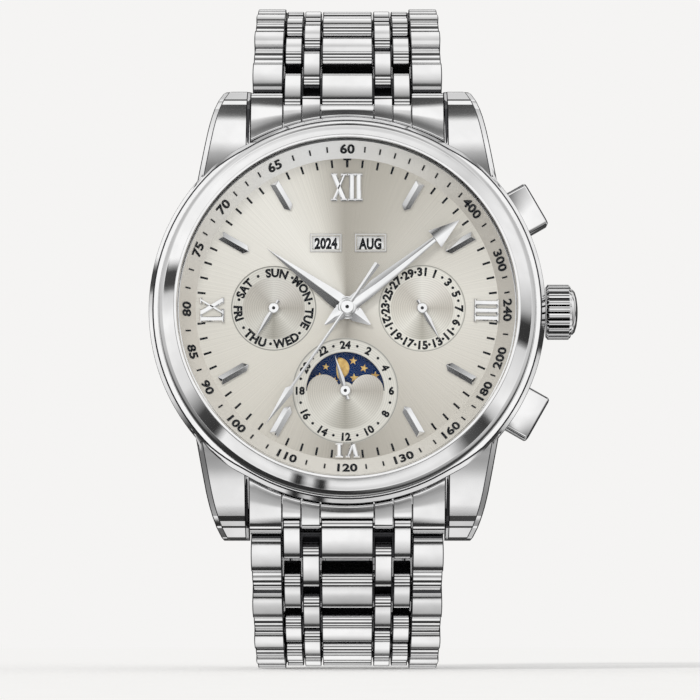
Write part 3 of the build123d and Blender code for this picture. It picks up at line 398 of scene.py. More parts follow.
case_shape = refined("case_middle", 0.13, [polished, painted_shade_steel])
for corner in case_shape.data.vertices:
    reach = sqrt(corner.co.x ** 2 + corner.co.z ** 2) * 1000
    if 20.4 < reach < 21.03 and -0.0089 < corner.co.y < -0.0045:
        push = band_widening * min(max((abs(corner.co.x) - lug_inside / 1000) / (lug_blend / 1000), 0.0), 1.0)
        push *= min((-corner.co.y - band_foot / 1000) / ((band_top - band_foot) / 1000), 1.0)
        corner.co.x *= 1 + push / reach
        corner.co.z *= 1 + push / reach


def on_upper_rim(end):
    """Whether a corner lies on the upper edges of the band."""
    return 0.0202 < sqrt(end.x ** 2 + end.z ** 2) < 0.0216 and end.y < -0.0070


rounded = case_shape.data.attributes.new("bevel_weight_edge", "FLOAT", "EDGE")
for edge in case_shape.data.edges:
    first, second = (case_shape.data.vertices[number].co for number in edge.vertices)
    if on_upper_rim(first) and on_upper_rim(second) and abs(first.y - second.y) < 1e-5:
        rounded.data[edge.index].value = 1.0
# Painted shade: the bevel on the band's upper edges takes the dark steel.
case_shape.modifiers["edge"].limit_method = "WEIGHT"
case_shape.modifiers["edge"].material = 1


def place(x, y, z):
    """Place on the lying watch in millimetres, in the standing frame in metres."""
    return Vector((x, -z, y)) / 1000


def skin(body, rows):
    """Faces between rows of corners, each row joined to the next."""
    made = []
    for low, high in zip(rows, rows[1:]):
        count = len(low)
        for k in range(count):
            made.append(body.faces.new((low[k], low[(k + 1) % count], high[(k + 1) % count], high[k])))
    return made


def loft(body, rings, closed=False, index=0):
    """Skin through rings of places, with end faces unless the last ring meets the first."""
    rows = [[body.verts.new(place(*p)) for p in ring] for ring in rings]
    if closed:
        made = skin(body, rows + rows[:1])
    else:
        made = skin(body, rows) + [body.faces.new(rows[0][::-1]), body.faces.new(rows[-1])]
    for face in made:
        face.material_index = index
    return made


def mesh_piece(name, body, finish_made, rider, bevel=0.0, turn=28, outward=True):
    """Object from mesh code, in its finish and riding on its body."""
    if outward:
        bmesh.ops.recalc_face_normals(body, faces=body.faces)
    mesh = bpy.data.meshes.new(name)
    body.to_mesh(mesh)
    body.free()
    piece = bpy.data.objects.new(name, mesh)
    scene.collection.objects.link(piece)
    finish(piece, finish_made, bevel, turn)
    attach(piece, rider)
    return piece


# The lugs. Four horns of the steel case that curve down to the bracelet, ground with a polished top,
# a narrow rim along each edge and brushed sides. They are forged in one with the case.

lug_start, lug_step = 13.6, 0.86
lug_foot, lug_inner = 1.6, 10.57
lug_side = []
for step in range(11):
    run = 1.2 + lug_step * step
    lug_side.append((lug_start + lug_step * step, 8.58 - 0.0053 * run ** 1.2 - 0.0208 * run ** 2))
lug_side += [
    (22.75, 5.95), (23.25, 5.545), (23.45, 5.345), (24.4, 4.09), (24.52, 3.89), (24.66, 3.44), (24.7, 2.7)]
lug_plan = [
    (12.0, 16.62), (13.8, 16.25), (17.3, 15.62), (20.0, 15.12), (21.7, 14.7), (23.0, 14.27), (24.2, 13.8),
    (24.7, 13.4)]


def lug_out(y):
    """Outer edge of the lug at a distance along the watch."""
    for (near_y, near_x), (far_y, far_x) in zip(lug_plan, lug_plan[1:]):
        if y <= far_y + 0.001:
            return near_x + (far_x - near_x) * (y - near_y) / (far_y - near_y)


lugs = bmesh.new()
for side in (1, -1):
    for way in (1, -1):
        stations = []
        for y, top in lug_side:
            out = lug_out(y)
            ring = [
                (lug_inner, lug_foot), (lug_inner, top - 0.4), (10.66, top - 0.26), (10.92, top - 0.12),
                (11.02, top), (out - 0.68, top), (out - 0.57, top - 0.12), (out - 0.12, top - 0.31),
                (out, top - 0.6), (out, lug_foot)]
            stations.append([(side * x, way * y, z) for x, z in ring])
        # Painted shade: the inner wall and thin strips along both edges of the top take the dark steel, as
        # dark lines.
        for number, face in enumerate(loft(lugs, stations)[:-2]):
            face.material_index = (1, 1, 0, 1, 0, 1, 0, 1, 2, 2)[number % 10]
lug_piece = mesh_piece("lug_shapes", lugs, [polished, painted_shade_steel, satin], "head", 0, 5)


# The case back and its seal. The back is turned from steel and screws in with a key on its six
# notches, and a soft black ring lies between its plug and the case.

dress(satin, "case_back")

rubber = grained("seal_rubber", 12.0, 2.0, [(0.3, 0.015), (0.7, 0.04)], {"Roughness": 0.75})[0]
dress(rubber, "back_gasket")


# The dial. A silvered brass disc, brushed outwards from its centre, with three small dials cut in
# rings, two framed windows and the opening of the moon. Its print is laid on as a thin ink.

weekday_x, date_x = -7.9, 8.06
moon_x, moon_y = -0.2, -8.9
dial_face = 8.4
sunk_face = 8.32
ink_lift = 0.015
groove_pitch = 0.24


def clock_share_of(tree, across_mm, up_mm):
    """Share of a full turn at which a place lies, from 6 o'clock round to 6 o'clock."""
    return calc(tree, "MULTIPLY_ADD", calc(tree, "ARCTAN2", across_mm, up_mm), 0.5 / pi, 0.5)


silver, tree, shader = material("silvered_dial")
axes = local(tree)[1]
clock_share = clock_share_of(tree, axes[0], axes[2])
# Painted sheen: by clock angle the disc is darker towards 12 and 6 o'clock and brighter towards 11 and 3
# o'clock, in place of the light on its brushing; the fine rays over it are its grain.
painted_sunburst_sheen = ramp(tree, clock_share, [
    (0.0, (0.42, 0.39, 0.34)), (0.05, (0.62, 0.585, 0.52)), (0.12, (0.76, 0.725, 0.65)),
    (0.24, (0.80, 0.77, 0.70)), (0.40, (0.92, 0.895, 0.83)), (0.45, (0.82, 0.79, 0.72)),
    (0.495, (0.45, 0.42, 0.365)), (0.54, (0.52, 0.49, 0.43)), (0.62, (0.68, 0.65, 0.585)),
    (0.74, (0.86, 0.83, 0.76)), (0.84, (0.76, 0.725, 0.655)), (0.93, (0.60, 0.565, 0.50)),
    (1.0, (0.42, 0.39, 0.34))])
ray_places = {"W": calc(tree, "MULTIPLY", clock_share, 620.0), "Scale": 1.0, "Detail": 3.0}
rays = add(tree, "ShaderNodeTexNoise", ray_places, noise_dimensions="1D").outputs["Fac"]
colour = multiplied(tree, painted_sunburst_sheen, ramp(tree, rays, [(0.3, 0.95), (0.7, 1.04)]))
height = rays
for middle_x, middle_y, reach, paler in (
    (weekday_x, 0.0, 4.6, 1.02), (date_x, 0.0, 4.7, 1.2), (moon_x, moon_y, 5.7, 1.08),
):
    across_mm = calc(tree, "SUBTRACT", axes[0], middle_x)
    up_mm = calc(tree, "SUBTRACT", axes[2], middle_y)
    squares = calc(tree, "ADD", calc(tree, "POWER", across_mm, 2.0), calc(tree, "POWER", up_mm, 2.0))
    radius = calc(tree, "SQRT", squares)
    reach_share = calc(tree, "DIVIDE", radius, reach)
    # Painted sheen: each small dial is brighter and darker in sectors round its own centre.
    painted_cone_sheen = ramp(tree, clock_share_of(tree, across_mm, up_mm), [
        (0.0, (0.40, 0.38, 0.33)), (0.12, (0.72, 0.70, 0.64)), (0.25, (0.58, 0.55, 0.49)),
        (0.38, (0.52, 0.49, 0.44)), (0.50, (0.72, 0.70, 0.65)), (0.62, (0.68, 0.65, 0.60)),
        (0.75, (0.48, 0.45, 0.40)), (0.88, (0.70, 0.68, 0.62)), (1.0, (0.40, 0.38, 0.33))])
    border = ramp(tree, reach_share, [(0.70, 0.0), (0.745, 1.0)])
    toned = multiplied(tree, blended(tree, border, painted_cone_sheen, (0.72, 0.70, 0.64, 1)), (paler, paler, paler, 1))
    wave = calc(tree, "SINE", calc(tree, "MULTIPLY", radius, 2 * pi / groove_pitch))
    groove = calc(tree, "MULTIPLY_ADD", wave, 0.5, 0.5)
    ringed = multiplied(tree, toned, ramp(tree, groove, [(0.0, 0.90), (1.0, 1.06)]))
    rim = ramp(tree, reach_share, [(0.965, 1.0), (0.980, 0.45), (0.992, 0.5), (1.0, 1.0)])
    inside = calc(tree, "LESS_THAN", radius, reach)
    colour = blended(tree, inside, colour, multiplied(tree, ringed, rim))
    outer_height = calc(tree, "MULTIPLY", height, calc(tree, "SUBTRACT", 1.0, inside))
    height = calc(tree, "ADD", outer_height, calc(tree, "MULTIPLY", groove, inside))
tree.links.new(colour, shader.inputs["Base Color"])
set_values(shader, {"Metallic": 0.35, "Roughness": 0.38})
relief(tree, shader, height, 0.25, 0.00001)
dress(silver, "dial")


def lettering(text, tall, weight=0.05):
    """Flat shape of a number or label, centred, as points in millimetres and faces."""
    words = bpy.data.curves.new(text, "FONT")
    words.body = text
    words.align_x = "CENTER"
    words.offset = weight
    words.resolution_u = 3
    words.space_character = 1.03
    holder = bpy.data.objects.new(text, words)
    mesh = bpy.data.meshes.new_from_object(holder)
    scale = tall / 0.70
    points = [(v.co.x * scale, (v.co.y - 0.35) * scale) for v in mesh.vertices]
    faces = [p.vertices[:] for p in mesh.polygons]
    bpy.data.objects.remove(holder)
    return points, faces


def printed(ink, points, faces, to_place):
    """Lay a flat shape on the print through a rule from its two lengths to a place."""
    made = [ink.verts.new(place(*to_place(u, v))) for u, v in points]
    for face in faces:
        try:
            ink.faces.new([made[i] for i in face])
        except ValueError:
            continue


def round_rule(middle_x, middle_y, radius, clock, level, inward=False, slope=0.0):
    """Rule that bends a flat shape round a centre, level or up a slope."""
    way = -1 if inward else 1

    def rule(u, v):
        angle = radians(clock) + way * u / radius
        reach = radius + way * v * cos(slope)
        return (middle_x + reach * sin(angle), middle_y + reach * cos(angle), level + way * v * sin(slope))
    return rule


def box_points(width, tall):
    """Four corners of a mark."""
    points = [(sx * width / 2, sy * tall / 2) for sx, sy in ((-1, -1), (1, -1), (1, 1), (-1, 1))]
    return points, [(0, 1, 2, 3)]


def dot_points(radius):
    """Twelve corners of a round dot."""
    points = [(radius * cos(k * pi / 6), radius * sin(k * pi / 6)) for k in range(12)]
    return points, [tuple(range(12))]


def stands_inward(clock):
    """Whether a number low on a dial stands with its head towards the centre."""
    return 100 < clock < 260


ink_black = grained(
    "black_ink", 9.0, 3.0, [(0.3, (0.003, 0.004, 0.006)), (0.7, (0.010, 0.013, 0.018))],
    {"Roughness": 0.6, "Specular IOR Level": 0.1})[0]
dial_ink, sunk_ink = dial_face + ink_lift, sunk_face + ink_lift
minute_radius = 15.75

ink = bmesh.new()
for minute in range(60):
    if minute % 5:
        printed(ink, *box_points(0.23, 0.85), round_rule(0, 0, minute_radius, minute * 6, dial_ink))
printed(ink, *box_points(0.28, 0.95), round_rule(0, 0, 15.8, 0, dial_ink))
printed(ink, *box_points(0.85, 0.2), round_rule(0, 0, 16.2, 0, dial_ink))

day_radius, date_radius, hour_radius = 3.85, 3.98, 4.95
for label, clock, inward in (
    ("SUN", 5, False), ("MON", 56, False), ("TUE", 107, False), ("WED", 159, True), ("THU", 211, True),
    ("FRI", 262, True), ("SAT", 304, False),
):
    printed(ink, *lettering(label, 0.86), round_rule(weekday_x, 0, day_radius, clock, sunk_ink, inward))
for clock in (31, 82, 134, 185, 237, 284, 334):
    printed(ink, *dot_points(0.16), round_rule(weekday_x, 0, day_radius, clock, sunk_ink))
for label, clock in (
    ("31", 1), ("1", 20), ("3", 45), ("5", 67), ("7", 90), ("9", 113), ("11", 135), ("13", 157), ("15", 180),
    ("17", 203), ("19", 225), ("21", 248), ("23", 270), ("25", 292), ("27", 314), ("29", 338),
):
    rule = round_rule(date_x, 0, date_radius, clock, sunk_ink, stands_inward(clock))
    printed(ink, *lettering(label, 0.84), rule)
for clock in (33, 56, 78, 102, 124, 146, 169, 191, 214, 237, 259, 281, 303, 326, 349.5):
    printed(ink, *dot_points(0.15), round_rule(date_x, 0, date_radius, clock, sunk_ink))
for hour in range(2, 25, 2):
    clock = hour * 15 % 360
    if hour in (6, 18):
        side = 4.93 if hour == 6 else -4.93
        printed(ink, *lettering(str(hour), 0.78), lambda u, v: (moon_x + side + u, moon_y + v, dial_ink))
    else:
        rule = round_rule(moon_x, moon_y, hour_radius, clock, dial_ink, stands_inward(clock))
        printed(ink, *lettering(str(hour), 0.78), rule)
    printed(ink, *dot_points(0.15), round_rule(moon_x, moon_y, hour_radius, clock + 15, dial_ink))
dial_print = mesh_piece("dial_print", ink, ink_black, "head", outward=False)


# The frames of the two windows. Each is a small steel rectangle with a raised edge and sloping inner
# walls, satin finished and pressed into its opening in the dial.

year_x, month_x = -2.3, 2.52
window_y = 7.1
window_frames = bmesh.new()
for middle_x in (year_x, month_x):
    rows = []
    for wide, tall, level in (
        (1.72, 1.0, 8.3), (1.72, 1.0, 8.5), (1.66, 0.94, 8.57), (1.58, 0.86, 8.57), (1.44, 0.72, 8.36),
        (1.44, 0.72, 8.1),
    ):
        rows.append([window_frames.verts.new(place(middle_x + sx * wide, window_y + sy * tall, level))
                     for sx, sy in ((-1, -1), (1, -1), (1, 1), (-1, 1))])
    skin(window_frames, rows)
frame_piece = mesh_piece("window_frames", window_frames, satin, "head", outward=False)


# The calendar discs below the two windows. White lacquered brass with bold black years and months,
# each turning on a post of the main plate.

# Painted light: the white lacquer glows faintly, to brighten the discs in their shaded recesses below the
# windows.
lacquer_with_painted_glow = grained("white_lacquer_painted_glow", 5.0, 3.0, [(0.3, 0.95), (0.7, 0.98)], {
    "Roughness": 0.5, "Emission Color": (1.0, 0.995, 0.98, 1), "Emission Strength": 0.16})[0]
dress(lacquer_with_painted_glow, "month_disc", "year_disc")


def circle(radius, level, x=0.0, y=0.0, steps=48):
    """Ring of places about an upright axis."""
    return [(x + radius * cos(k * 2 * pi / steps), y + radius * sin(k * 2 * pi / steps), level)
            for k in range(steps)]


disc_y = 10.6
disc_radius, disc_hole = 4.3, 1.2
label_width, label_radius = 2.46, 3.5
for node, middle_x, level, labels in (
    ("year_disc", year_x, 7.96, ("2024", "2025", "2026", "2027")),
    ("month_disc", month_x, 7.7, ("AUG", "NOV", "FEB", "MAY")),
):
    card = bmesh.new()
    loft(card, [circle(radius, height, middle_x, disc_y, 72) for radius, height in (
        (disc_hole, level - 0.2), (disc_radius, level - 0.2), (disc_radius, level - 0.02),
        (disc_radius - 0.02, level), (disc_hole, level))], closed=True)
    card_piece = mesh_piece(node + "_card", card, lacquer_with_painted_glow, node)
    ink = bmesh.new()
    for number, label in enumerate(labels):
        points, faces = lettering(label, 1.1, 0.05)
        narrow = label_width / (max(u for u, v in points) - min(u for u, v in points))
        turned = radians(number * 90)
        printed(ink, points, faces, lambda u, v: (
            middle_x + u * narrow * cos(turned) - (v - label_radius) * sin(turned),
            disc_y + u * narrow * sin(turned) + (v - label_radius) * cos(turned), level + ink_lift))
    numbers = mesh_piece(node + "_print", ink, ink_black, node, outward=False)


# The moon disc. Brass in deep blue lacquer with two gilt moons and small gilt stars, pressed and
# laid on, which turns below its opening. One moon shows beside the hand.

sky = grained(
    "night_lacquer", 1.5, 2.0, [(0.3, (0.003, 0.024, 0.105)), (0.7, (0.005, 0.036, 0.145))],
    {"Roughness": 0.35, "Specular IOR Level": 0.1})[0]
dress(sky, "moon_disc")
gold = grained(
    "gold_leaf", 1.6, 3.0, [(0.3, (0.62, 0.34, 0.08)), (0.65, (0.95, 0.68, 0.25))],
    {"Metallic": 0.3, "Roughness": 0.4})[0]

sky_level = 7.51
moon_radius, moon_shadow = 1.16, 0.25
moon_seat = (-0.72, 2.52)
leaf = bmesh.new()


def leaf_shape(outline, middle_x, middle_y, thick):
    """Thin raised shape on the moon disc, with a slightly smaller top."""
    rows = []
    for shrink, level in ((1.0, sky_level), (0.94, sky_level + thick)):
        rows.append([
            leaf.verts.new(place(middle_x + x * shrink, middle_y + y * shrink, level)) for x, y in outline])
    skin(leaf, rows)
    leaf.faces.new(rows[1])


def star(radius, lean):
    """Outline of a star with five points."""
    points = []
    for k in range(10):
        reach = radius if k % 2 == 0 else radius * 0.42
        points.append((reach * sin(k * pi / 5 + lean), reach * cos(k * pi / 5 + lean)))
    return points


def turned_by(angle, x, y):
    """Point turned about the middle of the disc."""
    return x * cos(angle) - y * sin(angle), x * sin(angle) + y * cos(angle)


crescent = [(moon_radius * cos(k * pi / 20), moon_radius * sin(k * pi / 20)) for k in range(-10, 11)]
crescent += [(-moon_shadow * cos(k * pi / 20), moon_radius * sin(k * pi / 20)) for k in range(9, -10, -1)]
for half_turn in (0, pi):
    for dx, dy, radius, lean in (
        (-2.1, 2.65, 0.4, 0.1), (-2.75, 1.6, 0.48, 0.0), (-1.2, 1.15, 0.45, 0.3), (0.85, 3.3, 0.46, 0.1),
        (2.0, 2.5, 0.48, 0.25), (3.2, 1.7, 0.52, 0.1), (0.95, 1.45, 0.52, -0.05),
    ):
        x, y = turned_by(half_turn, dx, dy)
        leaf_shape(star(radius, lean - half_turn), moon_x + x, moon_y + y, 0.035)
    x, y = turned_by(half_turn, *moon_seat)
    outline = [turned_by(half_turn, px, py) for px, py in crescent]
    leaf_shape(outline, moon_x + x, moon_y + y, 0.045)
moons = mesh_piece("moons_and_stars", leaf, gold, "moon_disc")


# The hour markers. Eight steel batons, cut to a roof with hipped ends and polished, and four Roman
# numerals, all applied to the dial on short feet.

baton_half, baton_start, baton_end = 0.52, 12.2, 15.75
marker_foot, marker_wall, baton_ridge = dial_face - 0.02, dial_face + 0.2, dial_face + 0.49


def turned_points(points, clock):
    """Points drawn towards 12 o'clock, turned to a clock angle."""
    angle = -radians(clock)
    return [(*turned_by(angle, x, y), z) for x, y, z in points]


batons = bmesh.new()
for hour in (1, 2, 4, 5, 7, 8, 10, 11):
    outline = [
        (-baton_half, baton_end), (baton_half, baton_end), (baton_half, baton_start + 0.5),
        (0.0, baton_start), (-baton_half, baton_start + 0.5)]
    points = [(x, y, marker_foot) for x, y in outline] + [(x, y, marker_wall) for x, y in outline]
    points += [(0, baton_end - 0.36, baton_ridge), (0, baton_start + 0.62, baton_ridge)]
    made = [batons.verts.new(place(*p)) for p in turned_points(points, hour * 30)]
    faces = [(k, (k + 1) % 5, 5 + (k + 1) % 5, 5 + k) for k in range(5)]
    faces += [(5, 6, 10), (6, 7, 11, 10), (7, 8, 11), (8, 9, 11), (9, 5, 10, 11), (4, 3, 2, 1, 0)]
    for face in faces:
        batons.faces.new([made[i] for i in face])
baton_piece = mesh_piece("hour_batons", batons, polished, "head", 0.04, 40)
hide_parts("hour_markers")

serif_bar = 0.3
numeral_bevel = 0.11
numerals = bmesh.new()


def stroke(seat, foot, head, width, flat=False):
    """Bevelled bar of a numeral from its foot to its head, on a seat of clock angle and radius."""
    clock, radius = seat
    half = width / 2
    if flat:
        outline = [(foot[0], foot[1] - half), (head[0], head[1] - half), (head[0], head[1] + half),
                   (foot[0], foot[1] + half)]
    else:
        outline = [(foot[0] - half, foot[1]), (foot[0] + half, foot[1]), (head[0] + half, head[1]),
                   (head[0] - half, head[1])]
    rows = []
    for level, cut in ((marker_foot, 0.0), (marker_wall, 0.0), (marker_wall + numeral_bevel, numeral_bevel)):
        points = [(x + sx * cut, radius + y + sy * cut, level)
                  for (x, y), (sx, sy) in zip(outline, ((1, 1), (-1, 1), (-1, -1), (1, -1)))]
        rows.append([numerals.verts.new(place(*point)) for point in turned_points(points, clock)])
    skin(numerals, rows)
    numerals.faces.new(rows[-1])


def serifs(seat, x, reach, tall):
    """Flat bars across the foot and the head of a stroke."""
    for side in (-1, 1):
        level = side * (tall / 2 - serif_bar / 2)
        stroke(seat, (x - reach, level), (x + reach, level), serif_bar, True)


def letter_i(seat, x, tall, width, serif=0.17):
    """Letter I with its two serifs."""
    stroke(seat, (x, -tall / 2 + 0.1), (x, tall / 2 - 0.1), width)
    serifs(seat, x, width / 2 + serif, tall)


def letter_x(seat, left, right, tall, width):
    """Letter X with its serifs."""
    stroke(seat, (left + 0.28, -tall / 2 + 0.1), (right - 0.28, tall / 2 - 0.1), width * 0.62)
    stroke(seat, (right - 0.3, -tall / 2 + 0.1), (left + 0.3, tall / 2 - 0.1), width)
    for x in (left + 0.32, right - 0.32):
        serifs(seat, x, 0.33, tall)


twelve, three, nine, six = (0, 13.15), (91, 14.98), (269.2, 14.55), (180, 15.3)
letter_x(twelve, -1.74, -0.04, 3.05, 0.6)
letter_i(twelve, 0.47, 3.05, 0.5, 0.14)
letter_i(twelve, 1.27, 3.05, 0.5, 0.14)
for x in (-0.84, 0.0, 0.84):
    letter_i(three, x, 2.72, 0.56, 0.14)
letter_i(nine, -0.98, 2.65, 0.56, 0.14)
letter_x(nine, -0.56, 1.34, 2.65, 0.62)
stroke(six, (-0.66, -0.75), (-1.02, 0.75), 0.5)
stroke(six, (-0.56, -0.75), (-0.08, 0.75), 0.3)
stroke(six, (-1.36, 0.68), (-0.7, 0.68), 0.26, True)
stroke(six, (-0.3, 0.68), (0.16, 0.68), 0.26, True)
letter_i(six, 0.86, 1.65, 0.5)
numeral_piece = mesh_piece("hour_numerals_shape", numerals, polished, "head")
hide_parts("hour_numerals")


# The chapter ring. Silvered brass turned to a slope between the dial and the crystal, printed with
# a plain scale of speeds whose numbers lie on the slope.

ring_silver, tree, shader = material("silvered_ring")
place_mm, axes = local(tree)
grain = add(tree, "ShaderNodeTexNoise", {"Vector": place_mm, "Scale": 10.0, "Detail": 3.0}).outputs["Fac"]
# Painted light and shade: by clock angle the ring is lighter at the top and upper left and darker on the
# right, where the lamp lights its slope unevenly.
shade = ramp(tree, clock_share_of(tree, axes[0], axes[2]), [
    (0.0, (0.82, 0.79, 0.73)), (0.12, (0.76, 0.725, 0.66)), (0.25, (0.80, 0.75, 0.67)),
    (0.38, (0.94, 0.92, 0.88)), (0.47, (0.98, 0.98, 0.98)), (0.56, (0.80, 0.78, 0.74)),
    (0.64, (0.55, 0.52, 0.47)), (0.75, (0.53, 0.50, 0.45)), (0.88, (0.66, 0.63, 0.57)),
    (1.0, (0.82, 0.79, 0.73))])
grain_tone = ramp(tree, grain, [(0.3, 0.97), (0.7, 1.03)])
tree.links.new(multiplied(tree, shade, grain_tone), shader.inputs["Base Color"])
set_values(shader, {"Metallic": 0.12, "Roughness": 0.42})
dress(ring_silver, "chapter_ring")

ring_slope = radians(42.4)
ring_start, ring_radius = 16.3, 17.2
print_lift = 0.065
ring_level = dial_face + (ring_radius - ring_start) * tan(ring_slope) + print_lift
speeds = [
    (60, 0), (400, 51.4), (300, 72.8), (240, 91), (200, 108.5), (180, 121.9), (160, 140.4), (130, 159.9),
    (120, 180.4), (110, 202.3), (100, 223.6), (90, 240), (85, 253.8), (80, 269.4), (75, 291.3), (70, 309.2),
    (65, 333)]
ink = bmesh.new()
for number, (speed, clock) in enumerate(speeds):
    rule = round_rule(0, 0, ring_radius, clock, ring_level, stands_inward(clock), ring_slope)
    printed(ink, *lettering(str(speed), 1.1, 0.035), rule)
    after = speeds[(number + 1) % len(speeds)][1] or 360
    marks = max(1, round((after - clock) / 5.2 - 1.9))
    for mark in range(marks):
        between = clock + (after - clock) * (mark + 1.15) / (marks + 1.3)
        rule = round_rule(0, 0, ring_radius, between, ring_level, False, ring_slope)
        printed(ink, *box_points(0.17, 0.72), rule)
scale_print = mesh_piece("scale_print", ink, ink_black, "head", outward=False)


# The hands. Each is pressed from steel, ground to two facets that meet in a ridge, and polished,
# with a round hub on its pipe or arbor; the seconds hand and the small hands have a dark pin in the middle.

dark_pin = steel("dark_pin", (0.05, 0.05, 0.055), 0.2, 0.35)
pipe_foot = 7.3


def ridged_hand(node, right_side, low, edge, rise, clock, hub, pin, foot, middle=(0.0, 0.0)):
    """Hand with a ridge along its middle, whose right side is given from tail to tip."""
    body = bmesh.new()
    outline = right_side + [(-x, y) for x, y in reversed(right_side) if x > 0.001]
    widest = max(x for x, y in right_side)
    ridge = [(0.0, y, low + edge + rise * min(x / widest, 1.0)) for x, y in right_side]

    def set_up(points):
        return [body.verts.new(place(x + middle[0], y + middle[1], z))
                for x, y, z in turned_points(points, clock)]
    under = set_up([(x, y, low) for x, y in outline])
    upper = set_up([(x, y, low + edge) for x, y in outline])
    top = set_up(ridge)
    last = len(right_side) - 1
    skin(body, [under, upper])
    body.faces.new(under[::-1])
    for k in range(last):
        body.faces.new((upper[k], upper[k + 1], top[k + 1], top[k]))
    left = [upper[last]] + upper[last + 1:] if right_side[-1][0] < 0.001 else upper[last + 1:]
    left = left[::-1]
    if right_side[0][0] < 0.001:
        left = [upper[0]] + left
    for k in range(len(left) - 1):
        body.faces.new((left[k + 1], left[k], top[k], top[k + 1]))
    if right_side[0][0] >= 0.001:
        body.faces.new((upper[0], top[0], left[0]))
    if right_side[-1][0] >= 0.001:
        body.faces.new((upper[last], left[-1], top[-1]))
    bmesh.ops.remove_doubles(body, verts=body.verts, dist=1e-8)
    loft(body, [circle(radius, level, *middle) for radius, level in (
        (hub, low - 0.02), (hub, low + 0.15), (hub * 0.88, low + 0.215), (hub * 0.45, low + 0.22))])
    loft(body, [circle(foot, level, *middle, 16) for level in (pipe_foot, low)])
    if pin:
        loft(body, [circle(radius, level, *middle, 24) for radius, level in (
            (pin, low), (pin, low + 0.25), (pin * 0.6, low + 0.28))], index=1)
    piece = mesh_piece(node + "_shape", body, [polished, dark_pin], node, 0.05, 30)
    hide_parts(node)


ridged_hand(
    "hour_hand", [(0.1, -3.1), (0.825, -1.3), (0.9, 1.6), (0.0, 10.9)],
    low=8.92, edge=0.06, rise=0.27, clock=306.5, hub=1.25, pin=0, foot=0.8)
ridged_hand(
    "minute_hand", [(0.1, -3.05), (0.75, -1.2), (0.8, 2.4), (0.3, 12.1), (1.15, 11.95), (0.0, 15.4)],
    low=9.29, edge=0.06, rise=0.28, clock=52.0, hub=1.0, pin=0, foot=0.52)
ridged_hand(
    "seconds_hand", [(0.32, -5.7), (0.16, -0.75), (0.16, 10.4), (0.5, 10.9), (0.0, 15.4)],
    low=9.66, edge=0.05, rise=0.3, clock=214.6, hub=0.75, pin=0.2, foot=0.24)
for node, middle, length, clock in (
    ("weekday_hand", (weekday_x, 0.0), 4.0, 211.0), ("date_hand", (date_x, 0.0), 3.9, 151.0),
    ("day_hour_hand", (moon_x, moon_y), 4.0, 343.6),
):
    ridged_hand(
        node, [(0.2, -1.0), (0.14, -0.5), (0.2, 0.4), (0.3, 1.4), (0.0, length)],
        low=8.55, edge=0.05, rise=0.12, clock=clock, hub=0.58, pin=0.18, foot=0.24, middle=middle)


# The bezel and the crystal. The bezel is turned from steel with a broad polished slope and pressed
# over the case, and the flat sapphire with a ground edge is pressed in its bore.

bezel_bore, bezel_foot, bezel_top = 18.2, 8.8, 11.4
rim_steps = 160
bezel_body = bmesh.new()
section = [(bezel_bore, bezel_foot), (20.35, bezel_foot), (20.35, 9.25), (20.2, 9.4)]
for step in range(7):
    share = step / 6
    bulge = 0.03 * sin(share * pi)
    section.append((19.8 - 1.3 * share + bulge * 0.79, 9.7 + 1.7 * share + bulge * 0.61))
section.append((bezel_bore, bezel_top))
faces = loft(bezel_body, [circle(radius, level, steps=rim_steps) for radius, level in section], closed=True)
for bore_face in faces[-rim_steps:]:
    bore_face.material_index = 1
bezel_piece = mesh_piece("bezel_shape", bezel_body, [polished, satin], "head", 0.06)
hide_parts("bezel")

sapphire, tree, shader = material("sapphire")
set_values(shader, {"Transmission Weight": 1.0, "IOR": 1.2, "Base Color": (0.985, 0.995, 1.0, 1)})
place_mm = local(tree)[0]
smear = add(tree, "ShaderNodeTexNoise", {"Vector": place_mm, "Scale": 0.4, "Detail": 2.0}).outputs["Fac"]
tree.links.new(calc(tree, "MULTIPLY", smear, 0.01), shader.inputs["Roughness"])
glass_radius, glass_under, glass_top, ground_edge = 18.17, 10.0, 11.7, 0.07
glass_body = bmesh.new()
loft(glass_body, [circle(radius, level, steps=rim_steps) for radius, level in (
    (glass_radius, glass_under), (glass_radius, glass_top - ground_edge),
    (glass_radius - ground_edge, glass_top))])
crystal_piece = mesh_piece("crystal_shape", glass_body, sapphire, "head")
crystal_piece.visible_shadow = False
crystal_piece.visible_diffuse = False
crystal_piece.visible_glossy = False
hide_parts("crystal")


# The crown, its tube and the setting lever. The crown is turned from steel with twenty-four rounded
# flutes and a domed end, and its stem runs through the tube to the lever that holds it.

stem_level, stem_radius = 5.0, 0.5
flute_count = 24
flute_wave = ((-5.3, 0.12), (-2.6, 0.03), (0.0, 0.0), (2.6, 0.03), (5.3, 0.12), (7.5, 1.0))


def crown_ring(x, radius, flute=0.0):
    """Ring of places about the crown's axis, waved by its flutes."""
    points = []
    for k in range(flute_count):
        for lean, drop in flute_wave:
            angle = radians(k * 360 / flute_count + lean)
            reach = radius - flute * drop
            points.append((x, reach * sin(angle), stem_level + reach * cos(angle)))
    return points


crown_body = bmesh.new()
faces = loft(crown_body, [crown_ring(*ring) for ring in (
    (21.55, 1.6), (21.55, 2.7), (21.8, 3.02, 0.34), (24.0, 3.02, 0.34), (24.25, 2.76, 0.04), (24.27, 2.5),
    (24.5, 2.45), (24.72, 2.2), (24.9, 1.6), (25.0, 0.9), (25.03, 0.2))])
ring_faces = flute_count * len(flute_wave)
